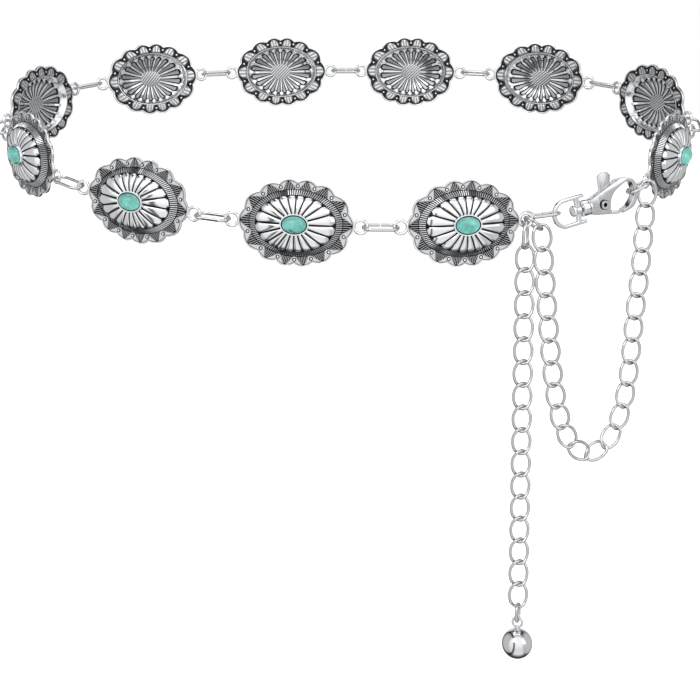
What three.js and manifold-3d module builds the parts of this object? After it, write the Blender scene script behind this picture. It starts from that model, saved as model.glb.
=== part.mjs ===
// Western concho chain belt, shown worn: cast conchos with a stone each, wire
// links between them, a swivel snap hook at the front, a long drape of curb
// chain under the hook and a hanging tail of the same chain with a ball.
// Millimetres, +Z up, the wearer faces -Y. The origin is the centre of the waist.
import * as THREE from 'three';
import { mergeVertices } from 'three/addons/utils/BufferGeometryUtils.js';
import Module from 'manifold-3d';

const wasm = await Module();
wasm.setup();
const { Manifold, Mesh } = wasm;

// Waist line that the conchos follow, a tilted oval
const conchoCount = 11;
const waistDepthRatio = 0.547;
const waistTilt = 20.1;
const sideRise = 8.0;
const claspSag = 4.56;
const claspSagAt = -53.1;
const claspSagSpread = 25.8;
const firstConchoAt = -61.8;

// Wire and clearances shared by every ring and link. Chain links are fused where
// they cross, and faceted wires need a little more room than round ones
const wire = 1.3;
const gap = 0.3;
const fuse = 0.35;
const facetRoom = 0.15;

// Concho, an oval scalloped plate with petals round a bezel
const conchoLength = 45;
const conchoHeight = 34.3;
const scallops = 14;
const notchDepth = 1.3;
const flangeThickness = 1.2;
const petals = 20;
const grooveOval = [36.2, 25.9];
const petalOval = [30.7, 21.4];
const petalHeight = 4.0;
const petalRelief = 0.35;
const bezelFootOval = [11.2, 8.4];
const bezelFootHeight = 6.3;
const bezelRimHeight = 7.5;
const bezelWall = 0.65;
const seatHeight = 6.6;
const dishOval = [34.4, 24.2];
const dishStepOval = [29.2, 20.2];
const dishStepDepth = 2.8;
const backPadOval = [10.0, 7.4];
const backPadDepth = 5.1;
const eyeBore = 3.8;
const eyeReach = 2.3;

// Stone, an oval cabochon in the bezel
const stoneRise = 3.1;

// Wire links between two conchos
const linkLength = 14.8;
const linkWidth = 7.5;
const linkTwist = 12;

// Curb chain of the drape and the tail
const chainPitch = 9.2;
const chainWidth = 8.4;
const curbTwist = 45;
const drapeCount = 24;
const tailCount = 17;
const tailTurn = -45;

// Rings at the first concho's eye, which carry the hook, the drape and the tail
const junctionLength = 9.4;
const junctionWidth = 8.2;
const junctionDrop = -38;
const junctionSeat = [0.35, 0.95];
const tailSeat = [0.1, -0.75];
const jumpRingWidth = 6.2;
const jumpWire = 1.1;
const jumpRingAt = 70;
const jumpRingLean = [0.5, -0.4, -0.76];
const jumpRingPull = [0.6, 0.8, 0];
const claspLinkWidth = 6.8;

// Hook: its three spans from the first concho's eye to the last concho's eye, and
// how far its two joints hang below the straight line between those eyes
const leadLength = 13.0;
const leadDrop = 0.9;
const hookSpan = 38.7;
const hookDrop = 1.1;
const hookToLastEye = 5.3;

// D ring of the hook
const dWidth = 12.0;
const dThickness = 1.8;
const dBow = 1.6;
const dAxisDrop = 1.4;
const crossbarAt = 10.0;
const crossbarDepth = 2.0;
const earLength = 2.4;
const earWidth = 1.5;

// Swivel hook body, in the hook's own axes. Its outline is given in shares of its
// length beyond the collar and of its height above the swivel's axis
const postRadius = 0.85;
const knobRadius = 2.3;
const knobLength = 1.6;
const barrelRadius = 3.3;
const barrelLength = 2.8;
const grooveRadius = 2.7;
const grooveWidth = 0.4;
const collarRadius = 3.1;
const collarLength = 1.2;
const hookThickness = 3.6;
const slotWidth = 1.8;
const hookWire = 1.7;
const hookHeight = 6.3;

// Lever and rivet
const leverThickness = 1.2;
const gateThickness = 2.4;
const rivetAt = [0.258, -0.333];
const rivetShank = 1.2;
const rivetBore = 0.75;
const rivetHead = 2.0;
const rivetHeadThickness = 0.55;
const hubRadius = 2.5;
const gateReachShare = 0.405;

// Ball drop at the end of the tail
const endRingLength = 8.5;
const endRingWidth = 6.6;
const ballDiameter = 12.5;
const ballEyeWidth = 5.1;
const ballWire = 1.1;
const ballNeck = 1.6;

// Route of the drape: along and down from the eyes it hangs between, as shares of
// the span and of the depth that closes the chain. The first is by the last concho, where it starts
const drapeRoute = [
  { along: 0.98, down: 0.085 },
  { along: 0.965, down: 0.22 },
  { along: 0.93, down: 0.40 },
  { along: 0.905, down: 0.58 },
  { along: 0.87, down: 0.76 },
  { along: 0.80, down: 0.90 },
  { along: 0.68, down: 1.00 },
  { along: 0.50, down: 1.02 },
  { along: 0.33, down: 0.90 },
  { along: 0.235, down: 0.70 },
  { along: 0.185, down: 0.50 },
  { along: 0.145, down: 0.30 },
  { along: 0.115, down: 0.14 },
];

// Colours from the photograph
const silver = 0xc9cbd0;
const turquoise = 0x6fc0a8;

const flat = (v) => new THREE.Vector2(v[0], v[1]);
const rad = THREE.MathUtils.degToRad;

// Solids and meshes
function toSolid(geometry) {
  const bare = geometry.clone();
  bare.deleteAttribute('normal');
  bare.deleteAttribute('uv');
  const merged = mergeVertices(bare, 1e-4);
  return new Manifold(new Mesh({
    numProp: 3,
    vertProperties: new Float32Array(merged.attributes.position.array),
    triVerts: new Uint32Array(merged.index.array),
  }));
}

function toGeometry(solid) {
  const mesh = solid.getMesh();
  const geometry = new THREE.BufferGeometry();
  geometry.setAttribute('position', new THREE.BufferAttribute(mesh.vertProperties, 3));
  geometry.setIndex(new THREE.BufferAttribute(mesh.triVerts, 1));
  geometry.computeVertexNormals();
  return geometry;
}

function joined(geometries) {
  let whole = null;
  for (const geometry of geometries) {
    const solid = toSolid(geometry);
    whole = whole ? whole.add(solid) : solid;
  }
  return toGeometry(whole);
}

function metal(colour) {
  return new THREE.MeshStandardMaterial({ color: colour, metalness: 1, roughness: 0.2 });
}

const belt = new THREE.Group();
const silverMetal = metal(silver);
const stoneMaterial = new THREE.MeshStandardMaterial({ color: turquoise, metalness: 0, roughness: 0.25 });

function addMesh(name, geometry, material, frame) {
  const mesh = new THREE.Mesh(geometry, material);
  mesh.name = name;
  if (frame) {
    mesh.position.copy(frame.at);
    mesh.quaternion.setFromRotationMatrix(new THREE.Matrix4().makeBasis(frame.x, frame.y, frame.z));
  }
  belt.add(mesh);
  return mesh;
}

// Closed wire rings. Their points are spaced by the ring's own parameter
class RingLine extends THREE.Curve {
  constructor(place) {
    super();
    this.place = place;
  }
  getPoint(t, target = new THREE.Vector3()) {
    return target.copy(this.place(t - Math.floor(t)));
  }
  getUtoTmapping(u) {
    return u;
  }
}

const ringSegments = 10;

function wireRing(place, thickness, sides = 5, segments = ringSegments) {
  return new THREE.TubeGeometry(new RingLine(place), segments, thickness / 2, sides, true);
}

// A plain oval ring in the XY plane, long along X, with half-round ends
function ovalPlace(length, width, thickness) {
  const endRadius = (width - thickness) / 2;
  const straight = (length - width) / 2;
  const steps = ringSegments / 2 - 1;
  return (t) => {
    const along = t * ringSegments;
    const side = along < ringSegments / 2 ? 1 : -1;
    const k = Math.min(along % (ringSegments / 2), steps);
    const extra = Math.max(along % (ringSegments / 2) - steps, 0);
    const angle = -Math.PI / 2 + Math.PI * k / steps;
    const x = side * (straight + endRadius * Math.cos(angle)) - side * extra * 2 * straight;
    return new THREE.Vector3(x, side * endRadius * Math.sin(angle), 0);
  };
}

function ovalRing(length, width, thickness) {
  return wireRing(ovalPlace(length, width, thickness), thickness);
}

// A curb link: an oval that is twisted about its long axis, which is Y
function curbLink(pitch, width, thickness, hand) {
  const half = pitch / 2 + (thickness - fuse) / 2;
  const side = (width - thickness) / 2;
  return wireRing((t) => {
    const angle = Math.PI / 2 - 2 * Math.PI * t;
    const turn = hand * rad(curbTwist) * Math.sin(angle);
    const across = side * Math.cos(angle);
    return new THREE.Vector3(
      across * Math.cos(turn), half * Math.sin(angle), across * Math.sin(turn));
  }, thickness);
}

function placed(geometry, frame) {
  const matrix = new THREE.Matrix4().makeBasis(frame.x, frame.y, frame.z).setPosition(frame.at);
  return geometry.clone().applyMatrix4(matrix);
}

// Lofted ovals: rings of different counts joined by their angles
function ovalPoints(oval, count, z, relief = 0, start = 0) {
  const points = [];
  for (let k = 0; k < count; k += 1) {
    const angle = start + 2 * Math.PI * k / count;
    const reach = 1 / Math.hypot(2 * Math.cos(angle) / oval[0], 2 * Math.sin(angle) / oval[1]);
    const lift = relief * (k % 2 ? 1 : -1);
    points.push(new THREE.Vector3(reach * Math.cos(angle), reach * Math.sin(angle), z + lift));
  }
  return { points, start, step: 2 * Math.PI / count };
}

function loft(rings, firstCentre, lastCentre) {
  const faces = [];
  const push = (a, b, c) => faces.push(a.x, a.y, a.z, b.x, b.y, b.z, c.x, c.y, c.z);
  const at = (ring, k) => ring.points[k % ring.points.length];
  const first = rings[0];
  const last = rings[rings.length - 1];
  first.points.forEach((p, k) => push(firstCentre, at(first, k + 1), p));
  for (let r = 0; r + 1 < rings.length; r += 1) {
    const [lower, upper] = [rings[r], rings[r + 1]];
    let i = 0;
    let j = 0;
    while (i < lower.points.length || j < upper.points.length) {
      const nextLower = lower.start + lower.step * (i + 1);
      const nextUpper = upper.start + upper.step * (j + 1);
      const stepLower = j >= upper.points.length || (i < lower.points.length && nextLower <= nextUpper);
      if (stepLower) {
        push(at(lower, i), at(lower, i + 1), at(upper, j));
        i += 1;
      } else {
        push(at(lower, i), at(upper, j + 1), at(upper, j));
        j += 1;
      }
    }
  }
  last.points.forEach((p, k) => push(p, at(last, k + 1), lastCentre));
  const geometry = new THREE.BufferGeometry();
  geometry.setAttribute('position', new THREE.Float32BufferAttribute(faces, 3));
  return mergeVertices(geometry, 1e-4);
}

// Concho plate with its two cast eyes. Its back is the plane z = 0
const eyeRadius = (eyeBore + wire) / 2;
const eyeAt = conchoLength / 2 + eyeReach;
const pivotAt = eyeAt + eyeRadius;
const plateMiddle = flangeThickness / 2;

function scallopPoints(z) {
  const start = Math.PI / scallops;
  const ring = ovalPoints([conchoLength, conchoHeight], 3 * scallops, z, 0, start);
  ring.points.forEach((p, k) => {
    const bulge = Math.abs(Math.cos(scallops / 2 * (start + ring.step * k)));
    const reach = Math.hypot(p.x, p.y);
    const shorter = (reach - notchDepth * (1 - bulge)) / reach;
    p.x *= shorter;
    p.y *= shorter;
  });
  return ring;
}

function conchoGeometry() {
  const rimInner = bezelFootOval.map((d) => d - 2 * bezelWall);
  const plate = loft([
    ovalPoints(backPadOval, 12, backPadDepth),
    ovalPoints(dishStepOval, 12, dishStepDepth),
    ovalPoints(dishOval, 16, 0),
    scallopPoints(0),
    scallopPoints(flangeThickness),
    ovalPoints(grooveOval, 2 * scallops, flangeThickness),
    ovalPoints(petalOval, 2 * petals, petalHeight, petalRelief),
    ovalPoints(bezelFootOval, 12, bezelFootHeight),
    ovalPoints(bezelFootOval, 12, bezelRimHeight),
    ovalPoints(rimInner, 12, bezelRimHeight),
    ovalPoints(rimInner, 12, seatHeight),
  ], new THREE.Vector3(0, 0, backPadDepth), new THREE.Vector3(0, 0, seatHeight));
  const eyes = [-1, 1].map((side) => {
    const eye = new THREE.TorusGeometry(eyeRadius, wire / 2, 5, 8);
    return eye.translate(side * eyeAt, 0, plateMiddle);
  });
  return joined([plate, ...eyes]);
}

function stoneGeometry() {
  const inner = bezelFootOval.map((d) => d - 2 * bezelWall - 2 * gap);
  const foot = seatHeight + gap;
  const share = (s) => inner.map((d) => d * s);
  return loft([
    ovalPoints(inner, 12, foot),
    ovalPoints(share(0.86), 12, foot + 0.58 * stoneRise),
    ovalPoints(share(0.5), 12, foot + 0.9 * stoneRise),
  ], new THREE.Vector3(0, 0, foot), new THREE.Vector3(0, 0, foot + stoneRise));
}

// Walk round the waist with the conchos and links as chords of the oval
const conchoChord = 2 * pivotAt;
const linkChord = linkLength - 3 * wire - 2 * gap;

function waistPoint(halfWidth, angle) {
  const y = halfWidth * waistDepthRatio * Math.sin(angle);
  const offAngle = angle - rad(claspSagAt);
  const off = Math.atan2(Math.sin(offAngle), Math.cos(offAngle)) / rad(claspSagSpread);
  const sag = claspSag * Math.exp(-off * off);
  const z = y * Math.tan(rad(waistTilt)) + sideRise * Math.cos(angle) ** 2 - sag;
  return new THREE.Vector3(halfWidth * Math.cos(angle), y, z);
}

function bisect(low, high, tooLow) {
  for (let k = 0; k < 50; k += 1) {
    const middle = (low + high) / 2;
    if (tooLow(middle)) low = middle;
    else high = middle;
  }
  return (low + high) / 2;
}

function chordEnd(halfWidth, angle, chord) {
  const from = waistPoint(halfWidth, angle);
  return bisect(angle, angle - 1.2, (next) => from.distanceTo(waistPoint(halfWidth, next)) < chord);
}

function walk(halfWidth) {
  const angles = [rad(firstConchoAt)];
  for (let k = 0; k < 2 * conchoCount - 1; k += 1) {
    angles.push(chordEnd(halfWidth, angles[k], k % 2 ? linkChord : conchoChord));
  }
  return angles;
}

// Segment axes: x back along the walk, y up, z away from the wearer
function segmentFrame(a, b) {
  const x = a.clone().sub(b).normalize();
  const y = new THREE.Vector3(0, 0, 1).addScaledVector(x, -x.z).normalize();
  const z = x.clone().cross(y);
  return { x, y, z, at: a.clone().add(b).multiplyScalar(0.5) };
}

function firstEyeOf(points) {
  const frame = segmentFrame(points[0], points[1]);
  return points[0].clone().addScaledVector(frame.x, -eyeRadius);
}

const claspReach = Math.sqrt(leadLength ** 2 - leadDrop ** 2)
  + Math.sqrt(hookSpan ** 2 - (leadDrop - hookDrop) ** 2)
  + Math.sqrt(hookToLastEye ** 2 - hookDrop ** 2);

function closingGap(halfWidth) {
  const angles = walk(halfWidth);
  const points = angles.map((angle) => waistPoint(halfWidth, angle));
  const left = angles[angles.length - 1] - (angles[0] - 2 * Math.PI);
  return Math.sign(left) * firstEyeOf(points).distanceTo(points[points.length - 1]);
}

const beltLength = conchoCount * conchoChord + (conchoCount - 1) * linkChord + claspReach;
const halfWidth = bisect(beltLength / 8, beltLength / 3, (size) => closingGap(size) < claspReach);
const knots = walk(halfWidth).map((angle) => waistPoint(halfWidth, angle));

const conchoShape = conchoGeometry();
const stoneShape = stoneGeometry();
for (let k = 0; k < conchoCount; k += 1) {
  const frame = segmentFrame(knots[2 * k], knots[2 * k + 1]);
  frame.at.addScaledVector(frame.z, -plateMiddle);
  const number = String(k + 1).padStart(2, '0');
  addMesh(`concho_${number}`, conchoShape, silverMetal, frame);
  addMesh(`stone_${number}`, stoneShape, stoneMaterial, frame);
}

const linkShape = ovalRing(linkLength, linkWidth, wire);
for (let k = 0; k + 1 < conchoCount; k += 1) {
  const frame = segmentFrame(knots[2 * k + 1], knots[2 * k + 2]);
  const turn = rad(90 + linkTwist);
  const y = frame.y.clone().multiplyScalar(Math.cos(turn)).addScaledVector(frame.z, Math.sin(turn));
  const z = frame.x.clone().cross(y);
  addMesh(`link_${String(k + 1).padStart(2, '0')}`, linkShape, silverMetal, { ...frame, y, z });
}

// Clasp plane: upright through the first eye and the last pivot. s runs along it,
// u is up and n is away from the wearer
const firstEye = firstEyeOf(knots);
const lastPivot = knots[knots.length - 1];
const across = lastPivot.clone().sub(firstEye);
const sAxis = new THREE.Vector3(across.x, across.y, 0).normalize();
const uAxis = new THREE.Vector3(0, 0, 1);
const nAxis = sAxis.clone().cross(uAxis);
const spanLength = Math.hypot(across.x, across.y);

function inPlane(s, u, n = 0) {
  return firstEye.clone().addScaledVector(sAxis, s).addScaledVector(uAxis, u).addScaledVector(nAxis, n);
}

function direction(s, u, n = 0) {
  return new THREE.Vector3().addScaledVector(sAxis, s).addScaledVector(uAxis, u)
    .addScaledVector(nAxis, n).normalize();
}

// How far a ring's end wire lies past the centre of the bar that it holds
function tipBeyond(barDepth, barThickness, ringWidth, thickness) {
  const bore = ringWidth / 2 - thickness;
  const room = Math.sqrt(bore ** 2 - (barThickness / 2) ** 2);
  return barDepth / 2 + gap + facetRoom + bore - room + thickness / 2;
}

const lineSlope = Math.atan2(across.z, spanLength);

function belowLine(along, drop) {
  return inPlane(
    along * Math.cos(lineSlope) + drop * Math.sin(lineSlope),
    along * Math.sin(lineSlope) - drop * Math.cos(lineSlope));
}

const dPivotAlong = Math.sqrt(leadLength ** 2 - leadDrop ** 2);
const hookPivotAlong = dPivotAlong + Math.sqrt(hookSpan ** 2 - (leadDrop - hookDrop) ** 2);
const dPivot = belowLine(dPivotAlong, leadDrop);
const hookPivot = belowLine(hookPivotAlong, hookDrop);

// Junction ring through the first eye: seen edge-on, its far end carries the drape
const junctionLine = direction(Math.cos(rad(junctionDrop)), Math.sin(rad(junctionDrop)));
const junctionEndRadius = (junctionWidth - wire) / 2;
const junctionHalf = (junctionLength - wire) / 2;
const junctionTip = inPlane(junctionSeat[0], junctionSeat[1]);
const junctionMiddle = junctionTip.clone().addScaledVector(junctionLine, junctionHalf);
const junctionRing = placed(ovalRing(junctionLength, junctionWidth, wire), {
  x: junctionLine,
  y: nAxis,
  z: junctionLine.clone().cross(nAxis),
  at: junctionMiddle,
});

// A point on the junction ring's round end, counted from its tip
function junctionPoint(endSign, turn, side) {
  return junctionMiddle.clone()
    .addScaledVector(junctionLine, endSign * (junctionHalf - junctionEndRadius * (1 - Math.cos(rad(turn)))))
    .addScaledVector(nAxis, side * junctionEndRadius * Math.sin(rad(turn)));
}

// Jump ring round the junction ring's rear shoulder
const jumpRadius = (jumpRingWidth - jumpWire) / 2;
const jumpNormal = direction(...jumpRingLean);
const jumpPull = direction(...jumpRingPull);
jumpPull.addScaledVector(jumpNormal, -jumpPull.dot(jumpNormal)).normalize();
const jumpSlack = jumpRadius - (jumpWire + wire) / 2 - gap;
const jumpCentre = junctionPoint(-1, jumpRingAt, -1).addScaledVector(jumpPull, jumpSlack);
const jumpFrame = {
  x: jumpPull,
  y: jumpNormal.clone().cross(jumpPull),
  z: jumpNormal,
  at: jumpCentre,
};
addMesh('jump_ring', new THREE.TorusGeometry(jumpRadius, jumpWire / 2, 6, 12), silverMetal, jumpFrame);

// Link between the jump ring and the D ring, seen edge-on
const towardsD = dPivot.clone().sub(jumpCentre);
towardsD.addScaledVector(jumpNormal, -towardsD.dot(jumpNormal)).normalize();
const jumpPivot = jumpCentre.clone().addScaledVector(towardsD, jumpRadius);
const claspLinkLine = dPivot.clone().sub(jumpPivot).normalize();
const jumpToTip = tipBeyond(jumpWire, jumpWire, claspLinkWidth, wire);
const dToTip = tipBeyond(dBow, dThickness, claspLinkWidth, wire);
const claspLinkSpan = jumpPivot.distanceTo(dPivot) + jumpToTip + dToTip;
const claspLinkZ = claspLinkLine.clone().cross(nAxis).normalize();
addMesh('clasp_link', ovalRing(claspLinkSpan + wire, claspLinkWidth, wire), silverMetal, {
  x: claspLinkLine,
  y: claspLinkZ.clone().cross(claspLinkLine),
  z: claspLinkZ,
  at: jumpPivot.clone().addScaledVector(claspLinkLine, claspLinkSpan / 2 - jumpToTip),
});

// Hook axes: x from the D ring's bow to the hook's bend, y up, z away from the wearer
const hookX = hookPivot.clone().sub(dPivot).normalize();
const hookFrame = { x: hookX, y: nAxis.clone().cross(hookX), z: nAxis, at: dPivot };

function plate(points, thickness, bevel = 0, holes = []) {
  const shape = new THREE.Shape(points);
  shape.holes = holes.map((hole) => new THREE.Path(hole));
  const geometry = new THREE.ExtrudeGeometry(shape, {
    depth: thickness - 2 * bevel,
    steps: 1,
    curveSegments: 6,
    bevelEnabled: bevel > 0,
    bevelThickness: bevel,
    bevelSize: bevel,
    bevelOffset: -bevel,
    bevelSegments: 1,
  });
  return geometry.translate(0, 0, bevel - thickness / 2);
}

function arcPoints(centre, radiusX, radiusY, from, to, count) {
  const points = [];
  for (let k = 0; k <= count; k += 1) {
    const angle = rad(from + (to - from) * k / count);
    points.push(new THREE.Vector2(centre[0] + radiusX * Math.cos(angle), centre[1] + radiusY * Math.sin(angle)));
  }
  return points;
}

// D ring: a round bow, a drilled crossbar and two short ears beside the barrel
const bowDepth = dWidth / 2;
const crossbarEnd = crossbarAt + crossbarDepth;
const earEnd = crossbarEnd + earLength;
const bowLeft = -dBow / 2;
const bowOuter = arcPoints([bowLeft + bowDepth, -dAxisDrop], bowDepth, dWidth / 2, 90, 270, 8);
const bowInner = arcPoints([bowLeft + bowDepth, -dAxisDrop], bowDepth - dBow, dWidth / 2 - dBow, 90, 270, 8);
const earInner = dWidth / 2 - earWidth;
const dOutline = [
  ...bowOuter,
  new THREE.Vector2(earEnd, -dAxisDrop - dWidth / 2),
  new THREE.Vector2(earEnd, -dAxisDrop - earInner),
  new THREE.Vector2(crossbarEnd, -dAxisDrop - earInner),
  new THREE.Vector2(crossbarEnd, -dAxisDrop + earInner),
  new THREE.Vector2(earEnd, -dAxisDrop + earInner),
  new THREE.Vector2(earEnd, -dAxisDrop + dWidth / 2),
];
const dHole = [
  ...bowInner,
  new THREE.Vector2(crossbarAt, -dAxisDrop - dWidth / 2 + dBow),
  new THREE.Vector2(crossbarAt, -dAxisDrop + dWidth / 2 - dBow),
];

function alongX(geometry) {
  return geometry.rotateZ(-Math.PI / 2).translate(0, -dAxisDrop, 0);
}

const crossbar = new THREE.BoxGeometry(crossbarDepth, dWidth - dBow, 2 * (postRadius + gap) + 1.2)
  .translate(crossbarAt + crossbarDepth / 2, -dAxisDrop, 0);
const postHole = alongX(new THREE.CylinderGeometry(postRadius + gap, postRadius + gap, 3 * crossbarDepth, 10)
  .translate(0, crossbarAt + crossbarDepth / 2, 0));
const dRing = toSolid(plate(dOutline, dThickness, 0.4, [dHole]))
  .add(toSolid(crossbar))
  .subtract(toSolid(postHole));
addMesh('d_ring', toGeometry(dRing), silverMetal, hookFrame);

// Swivel hook: knob, post, barrel, collar and the slotted hook in one casting
const knobStart = crossbarAt - gap - knobLength;
const barrelStart = crossbarEnd + gap;
const grooveStart = barrelStart + barrelLength;
const collarStart = grooveStart + grooveWidth;
const bodyStart = collarStart + collarLength;
const swivelProfile = [
  [0, knobStart], [knobRadius * 0.7, knobStart], [knobRadius, knobStart + knobLength / 2],
  [knobRadius * 0.8, knobStart + knobLength], [postRadius, knobStart + knobLength],
  [postRadius, barrelStart], [barrelRadius * 0.85, barrelStart], [barrelRadius, barrelStart + 0.6],
  [barrelRadius, grooveStart], [grooveRadius, grooveStart], [grooveRadius, collarStart],
  [collarRadius, collarStart], [collarRadius, bodyStart - 0.3], [hookThickness / 2, bodyStart + 0.4],
  [0, bodyStart + 0.4],
].map(flat);
const swivel = alongX(new THREE.LatheGeometry(swivelProfile, 10));

// The hook's outline: the top edge and bend, the nose by the gate, the inner edge and
// the belly. The bend's right side stands half a wire either side of the hook's pivot
const bendRight = hookSpan + hookWire / 2;
const hookLength = bendRight - bodyStart;

function onHook([along, up]) {
  return new THREE.Vector2(bodyStart + along * hookLength, up * hookHeight);
}

// A point beside the bend, so far in from its right side
function onBend(inward, up) {
  return [1 - inward / hookLength, up];
}

function smooth(rows, count) {
  return new THREE.SplineCurve(rows.map(onHook)).getPoints(count);
}

const outerEdge = smooth([
  [0, 0.206], [0.219, 0.46], [0.468, 0.778], [0.687, 1], [0.884, 0.857], onBend(0.5, 0.444),
  onBend(0, 0.032), onBend(0.9, -0.508), onBend(3.3, -1), [0.626, -1.206],
], 20);
const innerEdge = smooth([
  [0.643, -0.984], [0.748, -0.873], onBend(hookWire + 1.2, -0.46), onBend(hookWire, 0.032),
  onBend(hookWire + 1.0, 0.571), [0.801, 0.73], [0.626, 0.508], [0.503, 0.27], [0.416, -0.159], [0.381, -0.73],
], 18);
const belly = [[0.346, -1.048], [0.214, -0.937], [0.088, -0.857], [0, -0.778]].map(onHook);
const hookPlate = toSolid(plate([...outerEdge, ...innerEdge, ...belly], hookThickness));
const slot = toSolid(plate([
  [0.039, -0.667], [0.039, 1.27], [0.495, 1.27], [0.495, 0.302], [0.446, -1.429], [0.271, -1.429],
  [0.245, -0.778],
].map(onHook), slotWidth));
const rivetPlace = onHook(rivetAt);
const rivetHole = toSolid(new THREE.CylinderGeometry(rivetShank + gap, rivetShank + gap, 2 * hookThickness, 14)
  .rotateX(Math.PI / 2).translate(rivetPlace.x, rivetPlace.y, 0));
const swivelHook = toSolid(swivel).add(hookPlate.subtract(slot)).subtract(rivetHole);
addMesh('swivel_hook', toGeometry(swivelHook), silverMetal, hookFrame);

// Lever: thumb tab and hub in the slot, and the gate that closes the hook
const gateTurn = [-37, -30];
const gateReach = gateReachShare * hookLength;
const gateEnd = gateTurn.map((turn) => new THREE.Vector2(gateReach, 0).rotateAround(new THREE.Vector2(), rad(turn))
  .add(rivetPlace));
const hubArc = arcPoints([rivetPlace.x, rivetPlace.y], hubRadius, hubRadius, 165, 255, 4);
const tabEdge = [[0.289, 1.587], [0.241, 1.476], [0.232, 0.683]].map(onHook);
const tabFront = [[0.359, -0.19], [0.403, 0.19], [0.464, 0.841], [0.508, 1.365], [0.46, 1.603], [0.354, 1.683]];
const gateRoot = [[0.398, -1.095], [0.403, -0.81]].map(onHook);
const leverPlate = plate([
  ...tabEdge, ...hubArc, ...gateRoot, ...tabFront.map(onHook),
], leverThickness);
const gateBar = plate([gateRoot[0], gateEnd[0], gateEnd[1], gateRoot[1]], gateThickness, 0.3);
const lever = toSolid(leverPlate).add(toSolid(gateBar)).subtract(rivetHole);
addMesh('lever', toGeometry(lever), silverMetal, hookFrame);

// Rivet: a hollow shank through the lever and both cheeks, with a head on each side
const headInner = hookThickness / 2 + gap;
const headOuter = headInner + rivetHeadThickness;
const rivetProfile = [
  [rivetBore, -headOuter], [rivetHead, -headOuter], [rivetHead, -headInner], [rivetShank, -headInner],
  [rivetShank, headInner], [rivetHead, headInner], [rivetHead, headOuter], [rivetBore, headOuter],
  [rivetBore, -headOuter],
].map(flat);
const rivet = new THREE.LatheGeometry(rivetProfile, 12).rotateX(Math.PI / 2)
  .translate(rivetPlace.x, rivetPlace.y, 0);
addMesh('rivet', toGeometry(toSolid(rivet)), silverMetal, hookFrame);

// Drape: a link through the last eye and the hook's bend, then curb links down and
// up to the junction ring, fused where they cross
const endRadius = (linkWidth - wire) / 2;
const bendTip = tipBeyond(hookWire, hookThickness, linkWidth, wire);
const lastLine = lastPivot.clone().sub(hookPivot).normalize();
const lastSpan = hookPivot.distanceTo(lastPivot) + bendTip + wire + gap;
const lastZ = lastLine.clone().cross(nAxis).normalize();
const lastSide = lastZ.clone().cross(lastLine);
const lastMiddle = hookPivot.clone().addScaledVector(lastLine, lastSpan / 2 - bendTip);
const lastLink = placed(ovalRing(lastSpan + wire, linkWidth, wire), {
  x: lastLine,
  y: lastSide,
  z: lastZ,
  at: lastMiddle,
});

const crossing = (wire - fuse) / 2;
const lastShoulder = 50;
const junctionShoulder = 65;
const drapeStart = lastMiddle.clone()
  .addScaledVector(lastLine, lastSpan / 2 - endRadius * (1 - Math.cos(rad(lastShoulder))))
  .addScaledVector(lastSide, endRadius * Math.sin(rad(lastShoulder)))
  .addScaledVector(uAxis, crossing);
const drapeEnd = junctionPoint(1, junctionShoulder, 1).addScaledVector(uAxis, crossing);

const drapeLength = drapeCount * chainPitch;

function drapeCurve(depth) {
  const nStart = drapeStart.clone().sub(firstEye).dot(nAxis);
  const nEnd = drapeEnd.clone().sub(firstEye).dot(nAxis);
  const points = drapeRoute.map((row, k) => {
    const share = (k + 1) / (drapeRoute.length + 1);
    return inPlane(row.along * spanLength, -row.down * depth, nStart + (nEnd - nStart) * share);
  });
  return new THREE.CatmullRomCurve3([drapeStart, ...points, drapeEnd]);
}

function chainJoints(curve, count) {
  const joints = [curve.getPoint(0)];
  let t = 0;
  for (let k = 0; k < count; k += 1) {
    const from = joints[k];
    t = bisect(t, t + 0.3, (next) => from.distanceTo(beyond(curve, next)) < chainPitch);
    joints.push(beyond(curve, t));
  }
  return { joints, t };
}

// The curve goes on straight past its end, so that a walk along it can overshoot
function beyond(curve, t) {
  if (t <= 1) return curve.getPoint(t);
  return curve.getPoint(1).addScaledVector(curve.getTangent(1), (t - 1) * 10 * drapeLength);
}

const closingDepth = bisect(drapeLength / 5, drapeLength / 1.5, (depth) =>
  chainJoints(drapeCurve(depth), drapeCount).t > 1);
const drapeJoints = chainJoints(drapeCurve(closingDepth), drapeCount).joints;
const curbShape = curbLink(chainPitch, chainWidth, wire, 1);

function chainLinkFrame(top, bottom, turn = 0) {
  const y = top.clone().sub(bottom).normalize();
  const x = y.clone().cross(nAxis).normalize();
  const z = x.clone().cross(y);
  const at = top.clone().add(bottom).multiplyScalar(0.5);
  const turnedX = x.clone().multiplyScalar(Math.cos(turn)).addScaledVector(z, -Math.sin(turn));
  return { x: turnedX, y, z: turnedX.clone().cross(y), at };
}

const drapeLinks = [lastLink];
for (let k = 0; k < drapeCount; k += 1) {
  drapeLinks.push(placed(curbShape, chainLinkFrame(drapeJoints[k], drapeJoints[k + 1])));
}
addMesh('chain_drape', joined([...drapeLinks, junctionRing]), silverMetal);

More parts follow.
